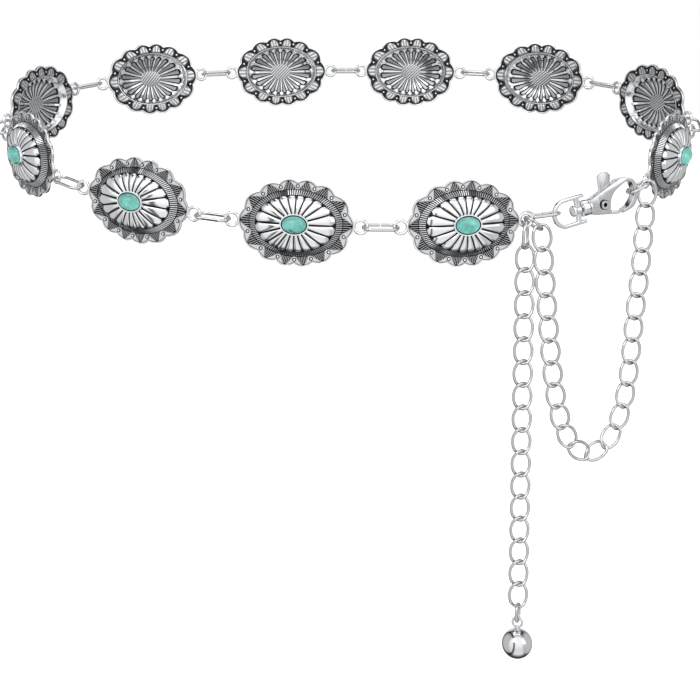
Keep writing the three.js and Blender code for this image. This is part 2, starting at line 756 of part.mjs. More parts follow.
// Tail: its first link hangs in the first eye, turned so that its top runs through it
const tailTop = inPlane(tailSeat[0], tailSeat[1] - crossing);
const tailShape = curbLink(chainPitch, chainWidth, wire, -1);
const tailLinks = [];
for (let k = 0; k < tailCount; k += 1) {
  const top = tailTop.clone().addScaledVector(uAxis, -chainPitch * k);
  const bottom = tailTop.clone().addScaledVector(uAxis, -chainPitch * (k + 1));
  tailLinks.push(placed(tailShape, chainLinkFrame(top, bottom, k === 0 ? rad(-tailTurn) : 0)));
}
const endRingX = direction(Math.cos(rad(tailTurn)), 0, Math.sin(rad(tailTurn)));
const endRingTop = tailTop.clone().addScaledVector(uAxis, crossing - chainPitch * tailCount);
const endRingHalf = (endRingLength - wire) / 2;
const endRing = placed(ovalRing(endRingLength, endRingWidth, wire), {
  x: uAxis,
  y: endRingX,
  z: uAxis.clone().cross(endRingX),
  at: endRingTop.clone().addScaledVector(uAxis, -endRingHalf),
});
addMesh('chain_tail', joined([...tailLinks, endRing]), silverMetal);

// Ball drop, which swings on the end ring
const ballHinge = endRingTop.clone().addScaledVector(uAxis, -2 * endRingHalf);
const ballEyeRadius = (ballEyeWidth - ballWire) / 2;
const eyeTopToHinge = (wire + ballWire) / 2 + gap;
const ballRadius = ballDiameter / 2;
const ballEyeZ = eyeTopToHinge - ballEyeRadius;
const neckTop = ballEyeZ - ballEyeRadius;
const ballZ = neckTop - ballNeck / 2 - ballRadius;
const ballShape = joined([
  new THREE.SphereGeometry(ballRadius, 12, 9).rotateX(Math.PI / 2).translate(0, 0, ballZ),
  new THREE.CylinderGeometry(ballWire * 0.7, ballWire * 0.9, ballNeck + 0.4, 6)
    .rotateX(Math.PI / 2).translate(0, 0, neckTop - ballNeck / 2 + 0.2),
  new THREE.TorusGeometry(ballEyeRadius, ballWire / 2, 5, 10).rotateX(Math.PI / 2).translate(0, 0, ballEyeZ),
]);
addMesh('ball_drop', ballShape, silverMetal, {
  x: uAxis.clone().cross(endRingX).negate(),
  y: endRingX,
  z: uAxis,
  at: ballHinge,
});

export default belt;
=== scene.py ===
# Western concho chain belt: cast conchos with turquoise stones, wire links, a swivel
# snap hook, a draped curb chain and a hanging tail with a ball. Sizes are millimetres
# until a piece is finished. x runs along a concho, y is up and z faces outwards.
import math
from itertools import accumulate

import bmesh
import bpy
from mathutils import Matrix, Vector


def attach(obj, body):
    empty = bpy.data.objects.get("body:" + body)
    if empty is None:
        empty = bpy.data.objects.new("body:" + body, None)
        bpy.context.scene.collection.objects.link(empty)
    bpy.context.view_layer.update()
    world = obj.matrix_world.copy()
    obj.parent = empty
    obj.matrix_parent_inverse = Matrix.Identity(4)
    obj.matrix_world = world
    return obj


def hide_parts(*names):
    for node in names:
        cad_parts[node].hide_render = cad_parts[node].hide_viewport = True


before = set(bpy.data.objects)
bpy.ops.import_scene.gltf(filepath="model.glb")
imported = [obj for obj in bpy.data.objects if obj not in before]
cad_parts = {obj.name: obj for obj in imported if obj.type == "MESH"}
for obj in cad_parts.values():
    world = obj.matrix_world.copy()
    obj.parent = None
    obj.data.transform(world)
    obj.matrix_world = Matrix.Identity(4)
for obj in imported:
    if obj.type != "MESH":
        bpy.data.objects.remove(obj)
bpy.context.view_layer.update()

MM = 0.001
TO_METRES = Matrix.Scale(MM, 4)
UP = Vector((0, 0, 1))

# Waist line that the conchos follow, a tilted oval
CONCHO_COUNT = 11
WAIST_DEPTH_RATIO = 0.547
WAIST_TILT = 20.1
SIDE_RISE = 8.0
CLASP_SAG = 4.56
CLASP_SAG_AT = -53.1
CLASP_SAG_SPREAD = 25.8
FIRST_CONCHO_AT = -61.8

# Wire, its saw cuts as shares of a ring, and clearances
WIRE = 1.3
LINK_SAW_CUT = 0.008
RING_SAW_CUT = 0.01
JUMP_SAW_CUT = 0.012
GAP = 0.3
FUSE = 0.35
FACET_ROOM = 0.15

# Concho
CONCHO_LENGTH = 45.0
CONCHO_HEIGHT = 34.3
SCALLOPS = 14
NOTCH_DEPTH = 1.3
FLANGE = 1.2
PETALS = 20
GROOVE_OVAL = (36.2, 25.9)
PETAL_OVAL = (30.7, 21.4)
PETAL_HEIGHT = 4.0
BEZEL_OVAL = (11.2, 8.4)
BEZEL_FOOT = 6.3
BEZEL_RIM = 7.5
BEZEL_WALL = 0.65
SEAT = 6.6
DISH_OVAL = (34.4, 24.2)
RECESS_OVAL = (31.0, 21.6)
STEP_DEPTH = 2.8
PAD_OVAL = (10.0, 7.4)
PAD_DEPTH = 5.1
EYE_BORE = 3.8
EYE_REACH = 2.3
STONE_RISE = 3.1
STONE_ROOM = 0.5

# Relief of a concho's front. Tarnish, and the shade painted inside the bezel round the stone, go from 0,
# bright, to 1, black
FIELD_DEPTH = 0.22
FIELD_ROWS = 8
FIELD_TARNISH = 0.15
EDGE_TARNISH = 0.65
RIM_WIDTH = 0.55
RIM_SLOPE = 0.18
HATCHES = 8
HATCH_SPREAD = 0.80
HATCH_WIDTH = 0.32
HATCH_RAISE = 0.2
HATCH_TARNISH = 1.0
BAR_TARNISH = 0.25
BAR_TAPER = 0.35
DOT_RADIUS = 0.85
DOT_AT_SHARE = 0.42
DOT_PROFILE = [(1.0, -0.1, 1.0), (0.95, 0.12, 1.0), (0.62, 0.12, 1.0), (0.5, 0.24, 0.0), (0.25, 0.28, 0.0)]
RING_FOOT = 1.2
RING_TOP = 3.0
RING_TARNISH = 0.86
TICKS = 110
TICK_WIDTH = 0.44
TICK_RAISE = 0.16
PETAL_ROWS = 12
PETAL_RELIEF = 0.55
PETAL_TIP = 0.10
GROOVE_INNER = 0.46
GROOVE_OUTER = 0.13
DOME_CURVE = 0.9

# Relief of a concho's back
RECESS = 0.5
RECESS_SHARES = (0.0, 0.03, 0.075, 0.1, 0.16, 0.25, 0.36, 0.48, 0.6, 0.72, 0.84, 0.93, 1.0)
RECESS_TARNISH = 0.38
OUTLINE_TARNISH = 1.0
RIB_INNER = 0.66
RIB_OUTER = 0.36
RIB_TARNISH = 0.06
PAD_TARNISH = 0.12
DISH_TARNISH = 0.02
LOBE_ROWS = 10
LOBE_SPREAD = 0.72
LOBE_RAISE = 0.2
LOBE_TARNISH = 0.05
LOBE_LINE_TARNISH = 0.42
BACK_FIELD_TARNISH = 0.95

# Wire links between two conchos
LINK_LENGTH = 14.8
LINK_WIDTH = 7.5
LINK_TWIST = 12

# Curb chain of the drape and the tail
CHAIN_PITCH = 9.2
CHAIN_WIDTH = 8.4
CURB_TWIST = 32
DRAPE_COUNT = 24
TAIL_COUNT = 17
TAIL_TURN = -45
CHAIN_TURN = 20
LAST_SHOULDER = 50

# Rings at the first concho's eye
JUNCTION_LENGTH = 9.4
JUNCTION_WIDTH = 8.2
JUNCTION_DROP = -38
JUNCTION_SEAT = (0.35, 0.95)
JUNCTION_SHOULDER = 65
TAIL_SEAT = (0.1, -0.75)
JUMP_RING_WIDTH = 6.2
JUMP_WIRE = 1.1
JUMP_RING_AT = 70
JUMP_RING_LEAN = (0.5, -0.4, -0.76)
JUMP_RING_PULL = (0.6, 0.8, 0)
CLASP_LINK_WIDTH = 6.8

# Hook
LEAD_LENGTH = 13.0
LEAD_DROP = 0.9
HOOK_SPAN = 38.7
HOOK_DROP = 1.1
HOOK_TO_LAST_EYE = 5.3
D_WIDTH = 12.0
D_THICKNESS = 1.8
D_BOW = 1.6
D_AXIS_DROP = 1.4
CROSSBAR_AT = 10.0
CROSSBAR_DEPTH = 2.0
EAR_LENGTH = 2.4
EAR_WIDTH = 1.5
POST_RADIUS = 0.85
KNOB_RADIUS = 2.3
KNOB_LENGTH = 1.6
BARREL_RADIUS = 3.3
BARREL_LENGTH = 2.8
BARREL_GROOVE_RADIUS = 2.7
BARREL_GROOVE_WIDTH = 0.4
COLLAR_RADIUS = 3.1
COLLAR_LENGTH = 1.2
HOOK_THICKNESS = 3.6
SLOT_WIDTH = 1.8
HOOK_WIRE = 1.7
HOOK_HEIGHT = 6.3
LEVER_THICKNESS = 1.2
GATE_THICKNESS = 2.4
RIVET_AT = (0.258, -0.333)
RIVET_SHANK = 1.2
RIVET_BORE = 0.75
RIVET_HEAD = 2.0
RIVET_HEAD_THICKNESS = 0.55
HUB_RADIUS = 2.5
GATE_REACH_SHARE = 0.405

# Ball drop
END_RING_LENGTH = 8.5
END_RING_WIDTH = 6.6
BALL_DIAMETER = 12.5
BALL_EYE_WIDTH = 5.1
BALL_WIRE = 1.1
BALL_NECK = 1.6

# Route of the drape: along and down from the eyes it hangs between, as shares of
# the span and of the depth that closes the chain
DRAPE_ROUTE = [
    (0.98, 0.085), (0.965, 0.22), (0.93, 0.40), (0.905, 0.58), (0.87, 0.76),
    (0.80, 0.90), (0.68, 1.00), (0.50, 1.02), (0.33, 0.90), (0.235, 0.70),
    (0.185, 0.50), (0.145, 0.30), (0.115, 0.14),
]

# Cast silver, from bright to black, with its grain and the brushed stripes of the pad
CAST_COLOURS = [
    (0.0, (0.84, 0.85, 0.87)), (0.45, (0.26, 0.265, 0.275)), (1.0, (0.012, 0.012, 0.014))]
CAST_GRAIN_SCALE = 1400
GRAIN_DEPTH = 0.08
TARNISH_UNEVENNESS = 0.35
BRIGHT_ROUGHNESS = 0.13
TARNISH_ROUGHNESS = 0.55
BRUSH_SCALE = 0.42
BRUSH_TARNISH = 0.4

# Wire, polished ball and turquoise
WIRE_COLOUR = (0.62, 0.625, 0.635)
WIRE_ROUGHNESS = 0.1
BALL_COLOUR = (0.74, 0.745, 0.76)
BALL_ROUGHNESS = 0.06
STONE_COLOURS = [(0.30, (0.075, 0.28, 0.25)), (0.50, (0.12, 0.42, 0.37)), (0.72, (0.21, 0.57, 0.49))]
CLOUD_SCALE = 260
SPOT_SCALE = 330
SPOT_MASK = [(0.70, (0, 0, 0)), (0.735, (0.8, 0.8, 0.8))]
SPOT_COLOUR = (0.10, 0.075, 0.04)

# Tarnish of the hook's and the lever's flat faces, the barrel's groove and the rivet's heads
HOOK_FACE_TARNISH = 0.13
LEVER_FACE_TARNISH = 0.22
BARREL_GROOVE_TARNISH = 0.9
RIVET_HEAD_TARNISH = 0.1

# How finely round things are divided
COLUMNS = SCALLOPS * PETALS
PETAL_COLUMNS = COLUMNS // PETALS
LOBE = math.tau / SCALLOPS
DOT_SIDES = 8
RIVET_SIDES = 24
BOW_STEPS = 32
RING_STEPS = 40
WIRE_SIDES = 12
LATHE_STEPS = 48
SHARP_ANGLE = math.radians(38)

# Camera, fitted to the photograph
CAMERA_AT = (0.69, -559.1, 21.4)
CAMERA_PITCH = 8.67
CAMERA_LENS = 64.62
CAMERA_SHIFT = -0.10

# Studio: how bright its walls are along each direction, from -1 to 1, its lights
# as (name, place, size, power), and its floor, in metres
STUDIO_LIGHT = {
    "X": [(-1, 0.9), (-0.62, 1.0), (-0.55, 0.15), (-0.42, 0.15), (-0.34, 1.0), (0.45, 1.0),
          (0.7, 0.6), (1, 0.7)],
    "Y": [(-1, 1.25), (-0.42, 1.2), (-0.2, 0.7), (0.05, 0.16), (0.35, 0.06), (0.7, 0.15),
          (0.85, 0.8), (1, 1.0)],
    "Z": [(-1, 0.8), (-0.4, 0.75), (0, 0.9), (0.4, 1.0), (1, 1.0)],
}
SIDE_LIGHT = [(-1, 0.66), (-0.72, 0.62), (-0.5, 0), (0.5, 0), (0.72, 0.62), (1, 0.66)]
AREA_LIGHTS = [
    ("key", (-0.7, -1.2, 1.0), (0.9, 0.9), 5),
    ("fill", (1.1, -0.9, 0.5), (0.7, 1.0), 2),
    ("top", (0, 0.2, 1.3), (1.2, 0.8), 4),
]
FLOOR_SIZE = 20
FLOOR_Z = -0.5
FLOOR_GLOW = 0.8


# Places

def axes_matrix(x, y, z, at):
    matrix = Matrix((x, y, z)).transposed().to_4x4()
    matrix.translation = at
    return matrix


def bisect(low, high, too_low):
    for _ in range(36):
        middle = (low + high) / 2
        if too_low(middle):
            low = middle
        else:
            high = middle
    return (low + high) / 2


EYE_RADIUS = (EYE_BORE + WIRE) / 2
EYE_AT = CONCHO_LENGTH / 2 + EYE_REACH
CONCHO_CHORD = 2 * (EYE_AT + EYE_RADIUS)
LINK_CHORD = LINK_LENGTH - 3 * WIRE - 2 * GAP
LEAD_ALONG = math.sqrt(LEAD_LENGTH ** 2 - LEAD_DROP ** 2)
HOOK_ALONG = math.sqrt(HOOK_SPAN ** 2 - (LEAD_DROP - HOOK_DROP) ** 2)
CLASP_REACH = LEAD_ALONG + HOOK_ALONG + math.sqrt(HOOK_TO_LAST_EYE ** 2 - HOOK_DROP ** 2)


def waist_point(half_width, angle):
    y = half_width * WAIST_DEPTH_RATIO * math.sin(angle)
    off_angle = math.remainder(angle - math.radians(CLASP_SAG_AT), math.tau)
    sag = CLASP_SAG * math.exp(-(off_angle / math.radians(CLASP_SAG_SPREAD)) ** 2)
    z = y * math.tan(math.radians(WAIST_TILT)) + SIDE_RISE * math.cos(angle) ** 2 - sag
    return Vector((half_width * math.cos(angle), y, z))


def walk(half_width):
    angles = [math.radians(FIRST_CONCHO_AT)]
    for k in range(2 * CONCHO_COUNT - 1):
        chord = LINK_CHORD if k % 2 else CONCHO_CHORD
        start = waist_point(half_width, angles[k])
        angles.append(bisect(
            angles[k], angles[k] - 1.2,
            lambda angle: (waist_point(half_width, angle) - start).length < chord))
    return angles


def segment_matrix(a, b):
    x = (a - b).normalized()
    y = (UP - x * x.z).normalized()
    return axes_matrix(x, y, x.cross(y), (a + b) / 2)


def first_eye_of(points):
    return points[0] - (points[0] - points[1]).normalized() * EYE_RADIUS


def closing_gap(half_width):
    angles = walk(half_width)
    points = [waist_point(half_width, angle) for angle in angles]
    left = angles[-1] - (angles[0] - math.tau)
    return math.copysign((first_eye_of(points) - points[-1]).length, left)


belt_length = CONCHO_COUNT * CONCHO_CHORD + (CONCHO_COUNT - 1) * LINK_CHORD + CLASP_REACH
waist_half_width = bisect(
    belt_length / 8, belt_length / 3, lambda size: closing_gap(size) < CLASP_REACH)
knots = [waist_point(waist_half_width, angle) for angle in walk(waist_half_width)]
concho_places = [
    segment_matrix(knots[2 * k], knots[2 * k + 1]) @ Matrix.Translation((0, 0, -FLANGE / 2))
    for k in range(CONCHO_COUNT)
]
link_places = [
    segment_matrix(knots[2 * k + 1], knots[2 * k + 2])
    @ Matrix.Rotation(math.radians(90 + LINK_TWIST), 4, "X")
    for k in range(CONCHO_COUNT - 1)
]

# Clasp plane, upright through the first eye and the last pivot
first_eye = first_eye_of(knots)
last_pivot = knots[-1]
across = last_pivot - first_eye
s_axis = Vector((across.x, across.y, 0)).normalized()
n_axis = s_axis.cross(UP)
span_length = math.hypot(across.x, across.y)
line_slope = math.atan2(across.z, span_length)


def in_plane(s, u, n=0):
    return first_eye + s_axis * s + UP * u + n_axis * n


def direction(s, u, n=0):
    return (s_axis * s + UP * u + n_axis * n).normalized()


def turned(degrees):
    """The direction in the clasp plane that lies this far above the horizontal."""
    return direction(math.cos(math.radians(degrees)), math.sin(math.radians(degrees)))


def flattened(vector, normal):
    """The direction of what is left of a vector across the normal."""
    return (vector - normal * vector.dot(normal)).normalized()


def below_line(along, drop):
    return in_plane(
        along * math.cos(line_slope) + drop * math.sin(line_slope),
        along * math.sin(line_slope) - drop * math.cos(line_slope))


def tip_beyond(bar_depth, bar_thickness, ring_width, thickness):
    bore = ring_width / 2 - thickness
    room = math.sqrt(bore ** 2 - (bar_thickness / 2) ** 2)
    return bar_depth / 2 + GAP + FACET_ROOM + bore - room + thickness / 2


d_pivot = below_line(LEAD_ALONG, LEAD_DROP)
hook_pivot = below_line(LEAD_ALONG + HOOK_ALONG, HOOK_DROP)
hook_x = (hook_pivot - d_pivot).normalized()
hook_place = axes_matrix(hook_x, n_axis.cross(hook_x), n_axis, d_pivot)

# Materials


def add_node(tree, kind, inputs=None, **settings):
    """A node with its inputs set to values or joined to other nodes' outputs."""
    node = tree.nodes.new(kind)
    for label, value in settings.items():
        setattr(node, label, value)
    fill_inputs(tree, node, inputs or {})
    return node


def fill_inputs(tree, node, inputs):
    for label, value in inputs.items():
        if isinstance(value, bpy.types.NodeSocket):
            tree.links.new(value, node.inputs[label])
        else:
            node.inputs[label].default_value = value


def new_material(name, settings):
    material = bpy.data.materials.new(name)
    material.use_nodes = True
    tree = material.node_tree
    shader = tree.nodes["Principled BSDF"]
    fill_inputs(tree, shader, settings)
    return material, tree, shader


def add_ramp(tree, stops, position):
    node = add_node(tree, "ShaderNodeValToRGB", {"Fac": position})
    ramp = node.color_ramp
    while len(ramp.elements) < len(stops):
        ramp.elements.new(0.5)
    for element, (at, colour) in zip(ramp.elements, stops):
        element.position = at
        element.color = (*colour, 1)
    return node.outputs["Color"]


def add_noise(tree, coordinates, scale, detail=2.0):
    inputs = {"Vector": coordinates, "Scale": scale, "Detail": detail}
    return add_node(tree, "ShaderNodeTexNoise", inputs).outputs["Fac"]


def add_math(tree, operation, first, second):
    return add_node(tree, "ShaderNodeMath", {0: first, 1: second}, operation=operation).outputs["Value"]


def make_cast_silver():
    material, tree, shader = new_material("cast_silver", {"Metallic": 1.0})
    # The attribute holds tarnish and, inside the bezel and on the rivet's bore and rims, painted shade
    tarnish_and_shade, brushed = (add_node(tree, "ShaderNodeAttribute", attribute_name=layer).outputs["Fac"]
                        for layer in ("tarnish_and_shade", "brushed"))
    coordinates = add_node(tree, "ShaderNodeTexCoord").outputs
    grain = add_noise(tree, coordinates["Object"], CAST_GRAIN_SCALE)
    centred = add_math(tree, "SUBTRACT", grain, 0.5)
    uneven = add_math(tree, "MULTIPLY", centred, TARNISH_UNEVENNESS)
    inputs = {"Vector": coordinates["UV"], "Scale": BRUSH_SCALE, "Distortion": 0.8}
    marks = add_node(tree, "ShaderNodeTexWave", inputs, bands_direction="DIAGONAL")
    stripes = add_math(tree, "MULTIPLY", marks.outputs["Fac"], brushed)
    uneven_tarnish_and_shade = add_math(tree, "MULTIPLY", tarnish_and_shade, add_math(tree, "ADD", uneven, 1.0))
    amount = add_math(tree, "ADD", uneven_tarnish_and_shade, add_math(tree, "MULTIPLY", stripes, BRUSH_TARNISH))
    inputs = {"Value": amount, "To Min": BRIGHT_ROUGHNESS, "To Max": TARNISH_ROUGHNESS}
    rough = add_node(tree, "ShaderNodeMapRange", inputs)
    relief = add_math(tree, "ADD", stripes, add_math(tree, "MULTIPLY", grain, tarnish_and_shade))
    inputs = {"Height": relief, "Strength": 0.5, "Distance": GRAIN_DEPTH * MM}
    bump = add_node(tree, "ShaderNodeBump", inputs)
    fill_inputs(tree, shader, {
        "Base Color": add_ramp(tree, CAST_COLOURS, amount),
        "Roughness": rough.outputs["Result"],
        "Normal": bump.outputs["Normal"],
    })
    return material


def make_polished_silver(name, roughness, colour):
    settings = {"Metallic": 1.0, "Roughness": roughness, "Base Color": (*colour, 1)}
    return new_material(name, settings)[0]


def make_stone():
    settings = {"Roughness": 0.16, "Coat Weight": 0.6, "Coat Roughness": 0.05}
    material, tree, shader = new_material("turquoise", settings)
    coordinates = add_node(tree, "ShaderNodeTexCoord").outputs["Object"]
    clouds = add_noise(tree, coordinates, CLOUD_SCALE, 4.0)
    spots = add_noise(tree, coordinates, SPOT_SCALE, 1.0)
    inputs = {
        "Factor": add_ramp(tree, SPOT_MASK, spots),
        "A": add_ramp(tree, STONE_COLOURS, clouds),
        "B": (*SPOT_COLOUR, 1),
    }
    mix = add_node(tree, "ShaderNodeMix", inputs, data_type="RGBA")
    fill_inputs(tree, shader, {"Base Color": mix.outputs["Result"]})
    return material


CAST_SILVER = make_cast_silver()
WIRE_SILVER = make_polished_silver("silver_wire", WIRE_ROUGHNESS, WIRE_COLOUR)
MIRROR_SILVER = make_polished_silver("mirror_silver", BALL_ROUGHNESS, BALL_COLOUR)
TURQUOISE = make_stone()

# Pieces


def mesh_of(name, bm):
    mesh = bpy.data.meshes.new(name)
    bm.to_mesh(mesh)
    bm.free()
    return mesh


def finish_mesh(name, mesh, material, nodes, place, body="root"):
    mesh.transform(TO_METRES @ place)
    mesh.materials.append(material)
    mesh.shade_smooth()
    mesh.set_sharp_from_angle(angle=SHARP_ANGLE)
    piece = bpy.data.objects.new(name, mesh)
    bpy.context.scene.collection.objects.link(piece)
    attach(piece, body)
    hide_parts(*nodes)


def finish_piece(name, bm, material, node, place=Matrix.Identity(4), body="root"):
    bmesh.ops.recalc_face_normals(bm, faces=bm.faces)
    finish_mesh(name, mesh_of(name, bm), material, [node], place, body)


def edges_between(verts):
    chosen = set(verts)
    near = dict.fromkeys(edge for vert in verts for edge in vert.link_edges)
    return [edge for edge in near if edge.verts[0] in chosen and edge.verts[1] in chosen]


def extrude_loop(bm, verts, edges):
    """Extrudes a closed loop and returns its new verts in the same order, and its new edges."""
    bm.verts.index_update()
    made = bmesh.ops.extrude_edge_only(bm, edges=edges)["geom"]
    new_verts = [item for item in made if isinstance(item, bmesh.types.BMVert)]
    new_edges = [item for item in made if isinstance(item, bmesh.types.BMEdge)]
    fresh = set(new_verts)
    follow = {}
    for new in new_verts:
        for edge in new.link_edges:
            old = edge.other_vert(new)
            if old not in fresh:
                follow[old] = new
    return [follow[vert] for vert in verts], new_edges


def add_wire_ring(bm, ring_line, thickness, place=Matrix.Identity(4), steps=RING_STEPS, seam=0.0):
    """A round wire bent along ring_line(t), t from 0 to 1, with a saw cut of that share."""
    centre = sum((ring_line(k / steps) for k in range(steps)), Vector()) / steps
    places = []
    for k in range(steps + 1):
        t = seam / 2 + (1 - seam) * k / steps
        at = ring_line(t % 1.0)
        along = (ring_line((t + 0.002) % 1.0) - ring_line((t - 0.002) % 1.0)).normalized()
        outward = flattened(at - centre, along)
        places.append(place @ axes_matrix(outward, along.cross(outward), along, at))
    ring = first = bmesh.ops.create_circle(
        bm, segments=WIRE_SIDES, radius=thickness / 2, matrix=places[0])["verts"]
    edges = first_edges = edges_between(first)
    for before, after in zip(places, places[1:]):
        ring, edges = extrude_loop(bm, ring, edges)
        bmesh.ops.transform(bm, matrix=after @ before.inverted(), verts=ring)
    if seam:
        bmesh.ops.edgeloop_fill(bm, edges=first_edges)
        bmesh.ops.edgeloop_fill(bm, edges=edges)
    else:
        bmesh.ops.remove_doubles(bm, verts=[*first, *ring], dist=0.001)


def oval_line(length, width, thickness):
    """A ring in the XY plane, long along X, with half-round ends. It starts on a long side."""
    end_radius = (width - thickness) / 2
    straight = (length - width) / 2
    round_length = math.pi * end_radius
    half = round_length + 2 * straight

    def point(t):
        along = (t % 0.5) * 2 * half
        if along < straight:
            x, y = along, -end_radius
        elif along < straight + round_length:
            angle = (along - straight) / end_radius - math.pi / 2
            x, y = straight + end_radius * math.cos(angle), end_radius * math.sin(angle)
        else:
            x, y = half - along, end_radius
        return Vector((x, y, 0)) * (1 if t % 1.0 < 0.5 else -1)

    return point


def circle_line(radius):
    return lambda t: Vector((radius * math.cos(math.tau * t), radius * math.sin(math.tau * t), 0))


def curb_line(pitch, width, thickness, hand):
    """An oval link, long along Y, twisted about its long axis."""
    half = pitch / 2 + thickness / 2
    side = (width - thickness) / 2

    def point(t):
        angle = math.tau * t
        turn = hand * math.radians(CURB_TWIST) * math.sin(angle) ** 3
        reach = side * math.cos(angle)
        return Vector((reach, half * math.sin(angle), reach * math.tan(turn)))

    return point


def ring_mesh(name, ring_line, thickness, seam=0.0):
    bm = bmesh.new()
    add_wire_ring(bm, ring_line, thickness, seam=seam)
    return mesh_of(name, bm)


def add_copy(bm, mesh, place):
    copy = mesh.copy()
    copy.transform(place)
    bm.from_mesh(copy)
    bpy.data.meshes.remove(copy)


# Concho. Each row of the cast surface is a closed loop of COLUMNS points

def oval_reach(oval, angle):
    return 1 / math.hypot(2 * math.cos(angle) / oval[0], 2 * math.sin(angle) / oval[1])


def scallop_reach(angle):
    bulge = abs(math.cos(SCALLOPS / 2 * angle))
    outline = oval_reach((CONCHO_LENGTH, CONCHO_HEIGHT), angle)
    return outline - NOTCH_DEPTH * (1 - bulge)


def column_angle(column):
    return math.tau * column / COLUMNS


def lobe_offset(angle):
    """How far an angle lies off the middle of its lobe, from 0 to 1."""
    return abs(math.remainder(angle, LOBE)) / (LOBE / 2)


def petal_place(column, groove_share):
    """(angle, height share) of a column on a ring of petals, whose grooves take groove_share."""
    petal, within = divmod(column, PETAL_COLUMNS)
    q = within / (PETAL_COLUMNS / 2) - 1
    size = abs(q)
    edge = 1 - 2 / (PETAL_COLUMNS / 2)
    floor = 1 - 1 / (PETAL_COLUMNS / 2)
    if size <= edge + 1e-6:
        c = size / edge * (1 - groove_share)
        rise = 1 - 0.5 * (size / edge) ** 3
    elif size <= floor + 1e-6:
        c = 1 - 0.55 * groove_share
        rise = 0.0
    else:
        c = 1.0
        rise = 0.0
    sector = math.tau / PETALS
    return sector * (petal + 0.5 + 0.5 * math.copysign(c, q)), rise


def lerp(a, b, share):
    return a + (b - a) * share


def lerp_oval(a, b, share):
    return tuple(lerp(p, q, share) for p, q in zip(a, b))


def grow_oval(oval, by):
    return tuple(size + by for size in oval)


def dome(start, end, share):
    """A height that rises from start and levels off at end."""
    return lerp(start, end, math.sin(share * math.pi / 2) ** DOME_CURVE)


def oval_row(oval, z, tarnish_and_shade):
    def point(column):
        angle = column_angle(column)
        return angle, oval_reach(oval, angle), z, tarnish_and_shade
    return point


def flange_row(share, z, tarnish_and_shade, inset=0.0):
    """A row between the scalloped outline (share 0) and the groove (share 1)."""
    def point(column):
        angle = column_angle(column)
        outer = scallop_reach(angle) - inset
        return angle, lerp(outer, oval_reach(GROOVE_OVAL, angle), share), z, tarnish_and_shade
    return point


def hatch_field_row(share):
    """A row of the flange's sunk field, which is dark in the hatched triangles."""
    place = flange_row(share, FLANGE - FIELD_DEPTH, FIELD_TARNISH if share else EDGE_TARNISH,
                       RIM_WIDTH + RIM_SLOPE)

    def point(column):
        angle, reach, z, plain = place(column)
        in_triangle = lobe_offset(angle) < HATCH_SPREAD * (0.12 + 0.95 * share)
        return angle, reach, z, HATCH_TARNISH if in_triangle else plain
    return point


def petal_row(share):
    """A row of the front petals, from their tips (share 0) to the bezel (share 1)."""
    oval = lerp_oval(PETAL_OVAL, BEZEL_OVAL, share)
    base = dome(PETAL_HEIGHT - 0.45, BEZEL_FOOT - 0.35, share)
    swell = PETAL_RELIEF * min(1.0, 0.35 + 5 * share) * (1 - 0.35 * share)
    tip = max(0.0, 1 - share * PETAL_ROWS / 2)

    def point(column):
        angle, rise = petal_place(column, lerp(GROOVE_OUTER, GROOVE_INNER, share ** 1.3))
        reach = oval_reach(oval, angle) * (1 - PETAL_TIP * tip * (1 - rise) ** 1.2)
        dark = rise == 0.0 or (share == 0.0 and rise < 0.8)
        return angle, reach, base + swell * rise, 1.0 if dark else 0.0
    return point


def recess_row(share):
    """A row of the recessed petals of the back, from their outer ends to the pad."""
    oval = lerp_oval(RECESS_OVAL, PAD_OVAL, share)
    z = dome(STEP_DEPTH - 0.35, PAD_DEPTH - 0.55, share)
    end = max(0.0, 1 - share / 0.3)

    def point(column):
        angle, rise = petal_place(column, lerp(RIB_OUTER, RIB_INNER, share))
        reach = oval_reach(oval, angle) * (1 - PETAL_TIP * end * (1 - rise))
        if share == 0.0 or rise == 0.0:
            return angle, reach, z, RIB_TARNISH
        outlined = rise < 0.8 or share < 0.08
        return angle, reach, z + RECESS, OUTLINE_TARNISH if outlined else RECESS_TARNISH
    return point


def lobe_pad_row(share):
    """A row of the back of the flange, from the rim (share 0) to the dish (share 1)."""
    half = LOBE_SPREAD * (1 - 0.75 * (1 - share) ** 2)

    def point(column):
        angle = column_angle(column)
        outer = scallop_reach(angle) - RIM_WIDTH - 0.2
        reach = lerp(outer, oval_reach(DISH_OVAL, angle) + 0.35, share)
        off = lobe_offset(angle)
        if not (0.16 < share < 0.97 and off < half):
            return angle, reach, FIELD_DEPTH, BACK_FIELD_TARNISH
        line = off > half - 0.12 or column // 2 % 2
        return angle, reach, FIELD_DEPTH - LOBE_RAISE, LOBE_LINE_TARNISH if line else LOBE_TARNISH
    return point


